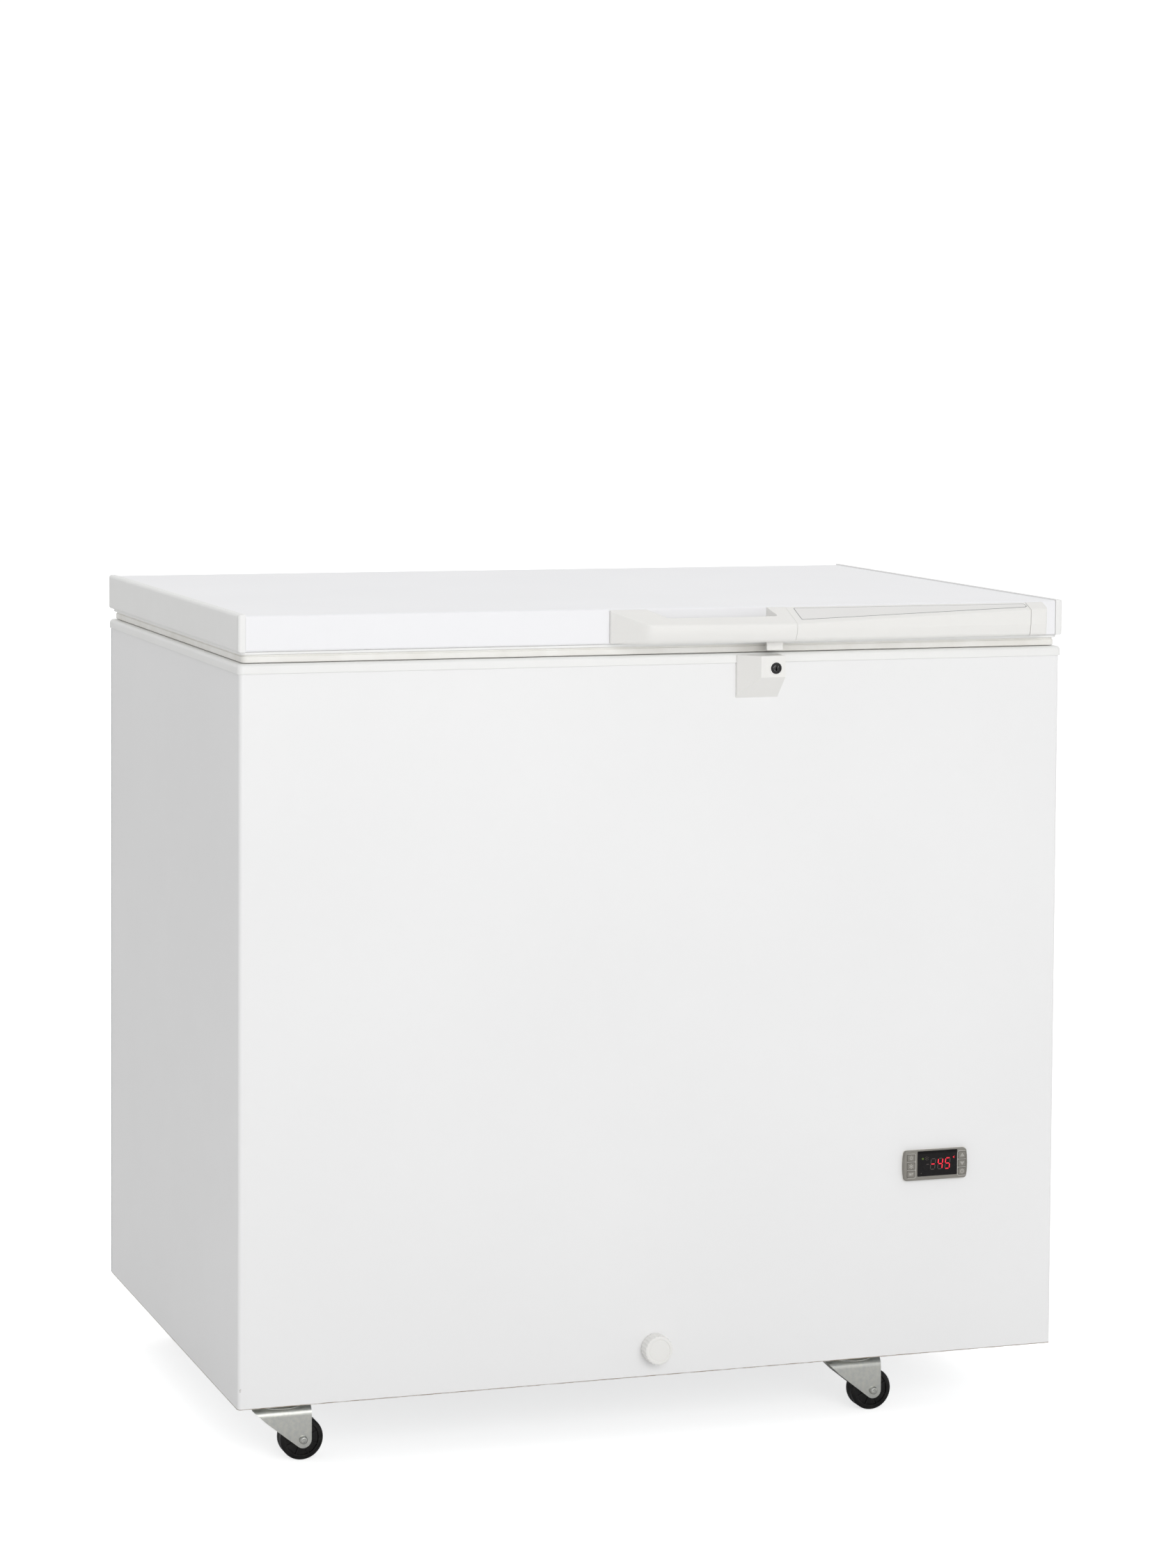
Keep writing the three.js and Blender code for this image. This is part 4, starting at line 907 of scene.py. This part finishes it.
def bezel_outline(grow=0.0):
    """The bezel's slightly barrel-shaped outline, grown by a margin."""
    x, z, bulge = 35.4 + grow, 16 + grow, 1.5
    side = [(x + 0.8 * bulge, -z / 2, 0), (x + bulge, 0, 0), (x + 0.8 * bulge, z / 2, 0)]
    half = [(x, -z, 3.2), *side, (x, z, 3.2)]
    other = [(-u, -v, r) for u, v, r in half]
    return [(PANEL.x + u, PANEL.z + v) for u, v in rounded(half + other)]


def key_box(name):
    return extent("key_" + name)


def build_bezel():
    back = bezel_high.y
    rings = []
    for inset, y in ((0.0, back - PANEL.y), (0.0, 1.1), (0.25, 0.5), (0.8, 0.12), (1.4, 0)):
        rings.append(lay("y", bezel_outline(-inset), PANEL.y + y))
    bezel = loft("controller_bezel_moulding", rings)
    gap = 0.3
    x_span, z_span = (window_low.x - gap, window_high.x + gap), (window_low.z - gap, window_high.z + gap)
    recess = rectangle(x_span, z_span, 0.8)
    carve(bezel, prism("window_recess", "y", recess, (PANEL.y - 2, window_high.y + gap)))
    for name in KEYS:
        low, high = key_box(name)
        hole = rectangle((low.x - 0.25, high.x + 0.25), (low.z - 0.25, high.z + 0.25), 1.6)
        carve(bezel, prism("key_hole", "y", hole, (PANEL.y - 2, back + 2)))
    finish_piece(bezel, "cabinet", "bezel_plastic", bezel_grey, "controller_bezel")
    seal = prism("controller_seal", "y", bezel_outline(0.7), (back + 0.02, shell_low.y - 0.02))
    finish_piece(seal, "cabinet", "gasket_vinyl", gasket_vinyl)

    pane = rectangle((window_low.x, window_high.x), (window_low.z, window_high.z), 0.7)
    window = prism("display_lens", "y", pane, (window_high.y, window_low.y))
    slice_off(window, (0, window_low.y, window_high.z - 2.6), (0, -1.0, 0.28))
    soften(window, 0.12, 2, 12)
    finish_piece(window, "cabinet", "display_filter", smoked, "display_window")


def stroke(points, width, y, lift=0.0):
    """One straight printed stroke on the panel's face, lifted clear of the ones it crosses."""
    (u0, v0), (u1, v1) = points
    along = Vector((u1 - u0, v1 - v0)).normalized() * width / 2
    side = Vector((-along.y, along.x))
    ends = (Vector((u0, v0)) - along, Vector((u1, v1)) + along)
    outline = [ends[0] - side, ends[1] - side, ends[1] + side, ends[0] + side]
    return prism("stroke", "y", [tuple(p) for p in outline], (y + 0.05, y - 0.06 - lift))


def printed_line(points, width, y):
    """One printed line through the points, mitred at each; it closes where its end meets its start."""
    points = [Vector(point) for point in points]
    closed = (points[0] - points[-1]).length < 1e-4
    if closed:
        points.pop()
    rings = []
    for i, here in enumerate(points):
        ways = []
        if closed or i > 0:
            ways.append((here - points[i - 1]).normalized())
        if closed or i < len(points) - 1:
            ways.append((points[(i + 1) % len(points)] - here).normalized())
        way = (ways[0] + ways[-1]).normalized()
        side = Vector((-way.y, way.x)) * width / 2 / max(0.5, way.dot(ways[0]))
        left, right = here + side, here - side
        back, front = y + 0.05, y - 0.06
        section = ((left, back), (right, back), (right, front), (left, front))
        rings.append([(p.x, depth, p.y) for p, depth in section])
    return loft("line", rings, closed)


def arc_points(centre, radius, start, end, steps=10):
    turns = [math.radians(start + (end - start) * i / steps) for i in range(steps + 1)]
    return [(centre[0] + radius * math.cos(a), centre[1] + radius * math.sin(a)) for a in turns]


def reach(centre, radius, degrees):
    """The point at this distance and direction from the centre."""
    return arc_points(centre, radius, degrees, degrees, 1)[0]


def bulb_symbol(c, y):
    outline = [(c.x - 0.45, c.z - 1.7), (c.x - 0.5, c.z - 1.0)]
    outline += list(reversed(arc_points((c.x, c.z + 0.2), 1.05, -50, 230, 12)))
    outline += [(c.x + 0.5, c.z - 1.0), (c.x + 0.45, c.z - 1.7), (c.x - 0.45, c.z - 1.7)]
    strokes = [printed_line(outline, 0.3, y)]
    for degrees in (0, 45, 90, 135, 180, 225, 315):
        strokes.append(stroke([reach((c.x, c.z + 0.2), out, degrees) for out in (1.6, 2.5)], 0.26, y))
    return strokes


def snow_symbol(c, y):
    strokes = []
    for degrees in range(0, 360, 60):
        tip, fork = [reach((c.x, c.z), out, degrees + 30) for out in (2.3, 1.35)]
        strokes.append(stroke(((c.x, c.z), tip), 0.26, y, 0.004 * len(strokes)))
        for lean in (0, 60):
            strokes.append(stroke((fork, reach(fork, 0.85, degrees + lean)), 0.24, y, 0.004 * len(strokes)))
    return strokes


def set_symbol(c, y):
    bpy.ops.object.text_add(rotation=(math.pi / 2, 0, 0))
    text = bpy.context.object
    text.data.body = "SET"
    text.data.size = 3.3 * MM
    text.data.extrude = 0.05 * MM
    text.data.offset = 0.06 * MM
    text.data.align_x = "CENTER"
    text.data.align_y = "CENTER"
    text.location = (c.x * MM, y * MM, c.z * MM)
    make_active(text)
    bpy.ops.object.convert(target="MESH")
    bpy.ops.object.transform_apply(location=True, rotation=True, scale=True)
    edit(text)
    merge_and_face_out()
    leave_edit()
    return [text]


def up_symbol(c, y, way=1):
    corners = [(-2.1, -1.3), (2.1, -1.3), (0, 1.7), (-2.1, -1.3)]
    inner = [(-0.75, -0.6), (0.75, -0.6), (0, 0.45), (-0.75, -0.6)]
    lines = []
    for outline, width in ((corners, 0.34), (inner, 0.26)):
        lines.append(printed_line([(c.x + u, c.z + way * v) for u, v in outline], width, y))
    return lines


def down_symbol(c, y):
    return up_symbol(c, y, -1)


def power_symbol(c, y):
    ring = printed_line(arc_points((c.x, c.z), 2.0, 0, 360, 28), 0.38, y)
    return [ring, stroke(((c.x, c.z - 0.5), (c.x, c.z + 0.9)), 0.45, y)]


def build_keys():
    symbols = (bulb_symbol, snow_symbol, set_symbol, up_symbol, down_symbol, power_symbol)
    for name, draw in zip(KEYS, symbols):
        low, high = key_box(name)
        rings = []
        for inset, y in ((0.0, high.y), (0.0, low.y + 0.6), (0.15, low.y + 0.2), (0.6, low.y)):
            x_span, z_span = (low.x + inset, high.x - inset), (low.z + inset, high.z - inset)
            rings.append(lay("y", rectangle(x_span, z_span, 1.5 - inset / 2), y))
        pad = loft("key_pad_" + name, rings)
        finish_piece(pad, "key_" + name, "key_plastic", key_grey, "key_" + name)
        symbol = gather("key_symbol_" + name, draw((low + high) / 2, low.y))
        finish_piece(symbol, "key_" + name, "bezel_plastic", pale_ink)


def build_key_lines():
    """The printed lines round the two key columns: rungs between the keys and a round-cornered side."""
    strokes = []
    for names, way in ((("light", "defrost", "set"), 1), (("up", "down", "power"), -1)):
        column = [key_box(name) for name in names]
        left, right = column[0][0].x, column[0][1].x
        top, bottom = column[0][1].z + 0.65, column[2][0].z - 0.65
        outer, inner = (left + 0.6, right + 0.75) if way > 0 else (right - 0.6, left - 0.75)
        corner, cut = 1.6, 1.6 * 0.3
        side, bend = inner - way * corner, inner - way * cut
        path = [(outer, top), (side, top), (bend, top - cut), (inner, top - corner)]
        path += [(inner, bottom + corner), (bend, bottom + cut), (side, bottom), (outer, bottom)]
        strokes.append(printed_line(path, 0.42, PANEL.y))
        for upper, lower in zip(column, column[1:]):
            z = (upper[0].z + lower[1].z) / 2
            strokes.append(stroke(((outer, z), (inner - way * 0.2, z)), 0.42, PANEL.y, 0.01))
    finish_piece(gather("key_lines", strokes), "cabinet", "bezel_plastic", pale_ink)


SEGMENTS = {
    "a": ((0, 1), (1, 1)),
    "b": ((1, 1), (1, 0)),
    "c": ((1, 0), (1, -1)),
    "d": ((0, -1), (1, -1)),
    "e": ((0, 0), (0, -1)),
    "f": ((0, 1), (0, 0)),
    "g": ((0, 0), (1, 0)),
}


def digit_segments(left, middle, names, y):
    """Slanted seven-segment bars of one digit, by their usual letters."""
    width, half, bar, gap, slant = 5.0, 5.6, 1.0, 0.45, 0.1
    bars = []
    for name in names:
        ends = []
        for u, v in SEGMENTS[name]:
            ends.append(Vector((left + u * width + slant * v * half, middle + v * half)))
        along = (ends[1] - ends[0]).normalized()
        side = Vector((-along.y, along.x)) * bar / 2
        start, end = ends[0] + along * gap, ends[1] - along * gap
        cut = along * bar / 2
        outline = [start, start + cut - side, end - cut - side, end, end - cut + side, start + cut + side]
        bars.append(prism("bar", "y", [tuple(p) for p in outline], (y + 0.1, y - 0.05)))
    return bars


def build_display():
    y, left, middle = window_low.y, window_low.x, window_low.z + 12.4
    places = [left + x for x in (15.2, 23.6, 32.0)]
    lit = []
    for place, names in zip(places, ("g", "bcfg", "acdfg")):
        lit += digit_segments(place, middle, names, y)
    mark = [(left + 42.6, middle + 7.2), (left + 40.9, middle + 6.2), (left + 42.4, middle + 5.0)]
    lit.append(printed_line(mark, 0.45, y))
    finish_piece(gather("display_digits_lit", lit), "cabinet", "display_filter", lit_red)
    dim = []
    for place, names in zip(places, ("abcdef", "ade", "be")):
        dim += digit_segments(place, middle, names, y)
    dim.append(stroke(((left + 10.6, middle), (left + 12.8, middle)), 0.8, y))
    dim += snow_symbol(Vector((left + 10.6, 0, middle + 6.4)), y)
    finish_piece(gather("display_segments_dim", dim), "cabinet", "display_filter", unlit)
    for name, at, wide, narrow, sides, material in (
        ("display_green_dot", (left + 6.0, middle + 6.2), 1.15, 0.7, 24, lit_green),
        ("display_sensor_dot", (left + 4.2, window_low.z + 3.0), 0.55, 0.3, 20, unlit),
    ):
        profile = ((wide, y + 0.1), (wide, y - 0.03), (narrow, y - 0.06))
        finish_piece(turned(name, "y", at, profile, sides), "cabinet", "display_filter", material)


# ---------------------------------------------------------------- casters
TRAIL, WHEEL_RADIUS = 22, 22.5
PLATE_HALF, BOLT_REACH, FORK_BACK, CUT_BACK = 30, 23, 31, 33
CROWN_TOP, CROWN_LOW, CHEEK = 60.7, 57.5, 14.5


def caster_plate_pieces(x, y, top):
    low = top - 2.5
    outline = rectangle((x - PLATE_HALF, x + PLATE_HALF), (y - PLATE_HALF, y + PLATE_HALF), 5)
    plate = prism("plate", "z", outline, (low, top))
    soften(plate, 0.5, 2, 50)
    section = [(10, 0), (20.4, 0), (21, 0.8), (21, 2.2), (20.2, 2.9), (20.9, 3.6)]
    section += [(20.6, 5.0), (19.4, 5.7), (10, 5.7)]
    race = revolved("race", "z", (x, y), [(r, low - down) for r, down in section], 56)
    bolt = ((5.6, 0), (5.6, 0.8), (4.5, 1.0), (4.5, 2.6), (3.7, 4.0), (2.2, 4.8))
    heads = []
    for sx in (-1, 1):
        for sy in (-1, 1):
            at = (x + sx * BOLT_REACH, y + sy * BOLT_REACH)
            heads.append(turned("bolt", "z", at, [(r, low - down) for r, down in bolt], 28))
    under = CROWN_LOW - 0.8
    profile = [(5, low), (5, under + 0.2), (6.8, under), (6.8, under - 1.4), (5.6, under - 2.4)]
    pin = turned("kingpin", "z", (x, y), profile, 32)
    return [plate, race, pin] + heads


def caster_fork(x, y):
    """Pressed from one sheet: a channel with round folds, trimmed to the cheeks, and a dished crown."""
    reach = 8.8
    near, far, fold = y - CHEEK, y + CHEEK, 13
    outer = rounded([(near, 0, 0), (near, CROWN_TOP, fold), (far, CROWN_TOP, fold), (far, 0, 0)], 8)
    near, far, under, fold = near + 2, far - 2, CROWN_TOP - 2.4, 10.8
    inner = rounded([(near, 0, 0), (near, under, fold), (far, under, fold), (far, 0, 0)], 8)
    back, front = x - FORK_BACK, x + TRAIL + reach
    channel = prism("fork", "x", outer, (back, front))
    inner = [(v, w - 1 if w == 0 else w) for v, w in inner]
    carve(channel, prism("inside", "x", inner, (x - CUT_BACK, front + 2)))
    tip = arc_points((x + TRAIL, WHEEL_RADIUS), reach, -122, 0, 10)
    cheek = [(front, CROWN_TOP + 2, 0), (back, CROWN_TOP + 2, 0), (back, CROWN_TOP - 5, 2)]
    cheek += [(x - 16.5, WHEEL_RADIUS + 19.5, 8), (*tip[0], 0)]
    trim = rounded(cheek) + tip[1:]
    tool = prism("trim", "y", trim, (y - 20, y + 20))
    modify(channel, "BOOLEAN", object=tool, operation="INTERSECT", solver="EXACT")
    bpy.data.objects.remove(tool)
    crown = [(22.2, CROWN_LOW + 0.2), (23, CROWN_LOW + 0.7), (23, CROWN_LOW + 1.4)]
    crown += [(21.4, CROWN_TOP - 0.6), (18, CROWN_TOP - 0.05)]
    fuse(channel, turned("crown", "z", (x, y), crown, 56))
    for outline, axis, span in (
        (circle((x, y), 5.3), "z", (CROWN_LOW - 3, CROWN_TOP + 3)),
        (circle((x + TRAIL, WHEEL_RADIUS), 3.3), "y", (y - 20, y + 20)),
    ):
        carve(channel, prism("hole", axis, outline, span))
    soften(channel, 0.3, 2, 50)
    return channel


def caster_axle(x, y):
    """A riveted axle: a shaft with a set head and a dimple at each end."""
    at = (x + TRAIL, WHEEL_RADIUS)
    end = CHEEK + 0.3
    profile = []
    for r, out in ((1.2, 2.2), (1.9, 2.8), (3.1, 2.6), (4.1, 1.7), (4.3, 0.9), (4.3, 0.0), (3.0, 0.0)):
        profile.append((r, y - end - out))
    profile += [(r, 2 * y - along) for r, along in reversed(profile)]
    return turned("axle", "y", at, profile, 36)


def caster_wheel(x, y):
    """A twin-rim wheel: a groove round the tread, a raised ring, a dished web with ribs and a hub."""
    bore, hub, web, ring, rim = 3.3, 7.6, 17.0, 19.2, WHEEL_RADIUS
    half = [(bore, 10), (hub, 10), (hub + 0.4, 8.4), (web, 8.0), (web + 0.4, 9.5), (ring, 9.7)]
    half += [(rim - 1.2, 8.9), (rim, 7.4), (rim, 1.3), (rim - 1.4, 0.7)]
    section = [(r, y - w) for r, w in half] + [(r, y + w) for r, w in reversed(half)]
    wheel = revolved("wheel", "y", (x + TRAIL, WHEEL_RADIUS), section, 72)
    ribs = []
    for side in (-1, 1):
        for i in range(8):
            low = (x + TRAIL + hub - 1, y + side * 8.7 - 0.7, WHEEL_RADIUS - 0.5)
            high = (x + TRAIL + web + 1, y + side * 8.7 + 0.7, WHEEL_RADIUS + 0.5)
            rib = block("rib", low, high)
            turn_about(rib, "Y", 45 * i + 22, (x + TRAIL, y, WHEEL_RADIUS))
            ribs.append(rib)
    return gather("wheel", [wheel] + ribs)


def build_casters():
    plate_low, plate_high = extent("caster_plate_" + CORNERS[0])
    home = (plate_low + plate_high) / 2
    x, y = home.x, home.y
    plate = gather("plate", caster_plate_pieces(x, y, plate_high.z))
    masters = (
        ("plate", plate, "cabinet", zinc, "zinc_plated_steel"),
        ("fork", caster_fork(x, y), "swivel_", zinc, "zinc_plated_steel"),
        ("axle", caster_axle(x, y), "swivel_", zinc, "zinc_plated_steel"),
        ("wheel", caster_wheel(x, y), "wheel_", nylon, "caster_plastic"),
    )
    for corner in CORNERS:
        low, high = extent("caster_plate_" + corner)
        shift = ((low.x + high.x) / 2 - x, (low.y + high.y) / 2 - y, 0)
        for part, master, body, material, slot in masters:
            piece = duplicate(master, "caster_" + part + "_made_" + corner, shift)
            rides_on = body + corner if body.endswith("_") else body
            finish_piece(piece, rides_on, slot, material, "caster_" + part + "_" + corner)
    for row in masters:
        bpy.data.objects.remove(row[1])


# ---------------------------------------------------------------- hinges
def build_hinges():
    for side in ("left", "right"):
        finish_refined("hinge_base_" + side, 0.4, "cabinet", "zinc_plated_steel", zinc)
        finish_refined("hinge_leaf_" + side, 0.4, "lid", "zinc_plated_steel", zinc)
        pin_low, pin_high = extent("hinge_pin_" + side)
        axis = ((pin_low.y + pin_high.y) / 2, (pin_low.z + pin_high.z) / 2)
        head = ((3.6, 0), (5.4, 0.6), (5.7, 1.2), (5.7, 2.5), (3.7, 2.5))
        profile = [(r, pin_low.x + along) for r, along in head]
        profile += [(r, pin_high.x - along) for r, along in reversed(head)]
        pin = turned("hinge_pin_made_" + side, "x", axis, profile, 32)
        finish_piece(pin, "cabinet", "spring_steel", oiled_steel, "hinge_pin_" + side)

        spring_low, spring_high = extent("hinge_spring_" + side)
        left, right = spring_low.x + 1.2, spring_high.x - 1.2
        coil, turns, steps = 6.9, 6, 20
        points = [(left, axis[0] + 6, axis[1] - 26)]
        for i in range(turns * steps + 1):
            a = 2 * math.pi * i / steps
            x = left + (right - left) * i / (turns * steps)
            points.append((x, axis[0] + coil * math.cos(a), axis[1] + coil * math.sin(a)))
        points.append((right, axis[0] + coil, axis[1] + 6))
        spring = tube("hinge_spring_made_" + side, points, 1.1)
        finish_piece(spring, "cabinet", "spring_steel", oiled_steel, "hinge_spring_" + side, smooth=60)

        base_low, base_high = extent("hinge_base_" + side)
        heads = []
        for x in (base_low.x + 14, base_high.x - 14):
            for z in (base_low.z + 12, base_low.z + 40):
                heads.append(pan_head_screw("screw", (x, base_low.y + 3, z), "+y", 4.2))
        finish_piece(gather("hinge_base_screws_" + side, heads), "cabinet", "zinc_plated_steel", zinc)
        leaf_low, leaf_high = extent("hinge_leaf_" + side)
        heads = []
        for x in (leaf_low.x + 12, leaf_high.x - 12):
            heads.append(pan_head_screw("screw", (x, leaf_low.y + 3, leaf_high.z - 9), "+y", 4.2))
        finish_piece(gather("hinge_leaf_screws_" + side, heads), "lid", "zinc_plated_steel", zinc)


# ---------------------------------------------------------------- machinery and plain frame nodes
def dress_frame_nodes():
    dress = {
        "base_pan": galvanised,
        "insulation_foam": foam,
        "lid_foam": foam,
        "drain_pipe": warm_abs,
        "controller_body": black_plastic,
    }
    for node, material in dress.items():
        frame["nodes"][node].data.materials.clear()
        frame["nodes"][node].data.materials.append(material)
    machinery = {
        "compressor": (0, enamel, "black_enamel"),
        "condenser": (0, fins, "aluminium_fins"),
        "suction_line": (0, copper, "copper_tube"),
        "liquid_line": (0, copper, "copper_tube"),
        "fan_frame": (0.5, black_plastic, "black_plastic"),
    }
    for node, (width, material, slot) in machinery.items():
        finish_refined(node, width, "cabinet", slot, material)
    finish_refined("fan_rotor", 0.3, "fan", "black_plastic", black_plastic)


# ---------------------------------------------------------------- studio
def area_light(name, place, aim, size, power):
    bpy.ops.object.light_add(type="AREA", location=place)
    light = bpy.context.object
    light.name = name
    light.data.shape = "RECTANGLE"
    light.data.size, light.data.size_y = size
    light.data.energy = power
    light.rotation_euler = (Vector(aim) - Vector(place)).to_track_quat("-Z", "Y").to_euler()


def build_studio():
    bpy.ops.mesh.primitive_plane_add(size=FLOOR_SIZE, location=(0, 0, 0))
    floor = bpy.context.object
    floor.name = "studio_floor"
    floor.data.materials.append(studio_paper())

    world = bpy.data.worlds.new("studio")
    bpy.context.scene.world = world
    world.use_nodes = True
    tree = world.node_tree
    tree.nodes.clear()
    seen = add_node(tree, "ShaderNodeBackground", None, {"Color": linear("ffffff"), "Strength": BACKDROP})
    way = add_node(tree, "ShaderNodeTexCoord").outputs["Generated"]
    parts = add_node(tree, "ShaderNodeSeparateXYZ", {0: way}).outputs
    leans = []
    for part, middle, lean in ((parts[0], 0.0, LEAN_ACROSS), (parts[1], WORLD_FILL, LEAN_BACK)):
        reach = {1: -1.0, 2: 1.0, 3: middle - lean, 4: middle + lean}
        leans.append(add_node(tree, "ShaderNodeMapRange", {0: part}, reach, clamp=True).outputs[0])
    level = add_node(tree, "ShaderNodeMath", {0: leans[0], 1: leans[1]}, operation="ADD").outputs[0]
    fill = add_node(tree, "ShaderNodeBackground", {"Strength": level}, {"Color": linear("ffffff")})
    ray = add_node(tree, "ShaderNodeLightPath").outputs["Is Camera Ray"]
    mixed = add_node(tree, "ShaderNodeMixShader", {0: ray, 1: fill.outputs[0], 2: seen.outputs[0]})
    add_node(tree, "ShaderNodeOutputWorld", {0: mixed.outputs[0]})

    area_light("key_softbox", (0.1, -4.8, 1.9), (0, -0.3, 0.5), (3.0, 2.6), KEY_POWER)
    area_light("top_softbox", (0.2, 0.3, 3.6), (0, 0, 0.8), (3.0, 3.0), TOP_POWER)


def build_camera():
    """The viewpoint: a little above the lid, left of the middle, with the lens shifted down."""
    bpy.ops.object.camera_add(location=(-1.39728, -4.14561, 1.17712))
    camera = bpy.context.object
    camera.name = "camera"
    yaw, pitch, roll = -0.32573, -0.05779, -0.00649
    turn = Matrix.Rotation(yaw, 3, "Z") @ Matrix.Rotation(pitch, 3, "X") @ Matrix.Rotation(roll, 3, "Y")
    camera.rotation_euler = (turn @ Matrix.Rotation(math.pi / 2, 3, "X")).to_euler()
    camera.data.lens = 91.262
    camera.data.sensor_width = 36
    camera.data.shift_y = -0.1538
    camera.data.clip_end = 100
    bpy.context.scene.camera = camera


build_camera()
build_studio()
build_cabinet()
build_tank()
build_lid()
build_handle()
build_lock()
build_drain_cap()
build_bezel()
build_keys()
build_key_lines()
build_display()
build_casters()
build_hinges()
dress_frame_nodes()
bpy.context.scene.view_settings.view_transform = "Standard"
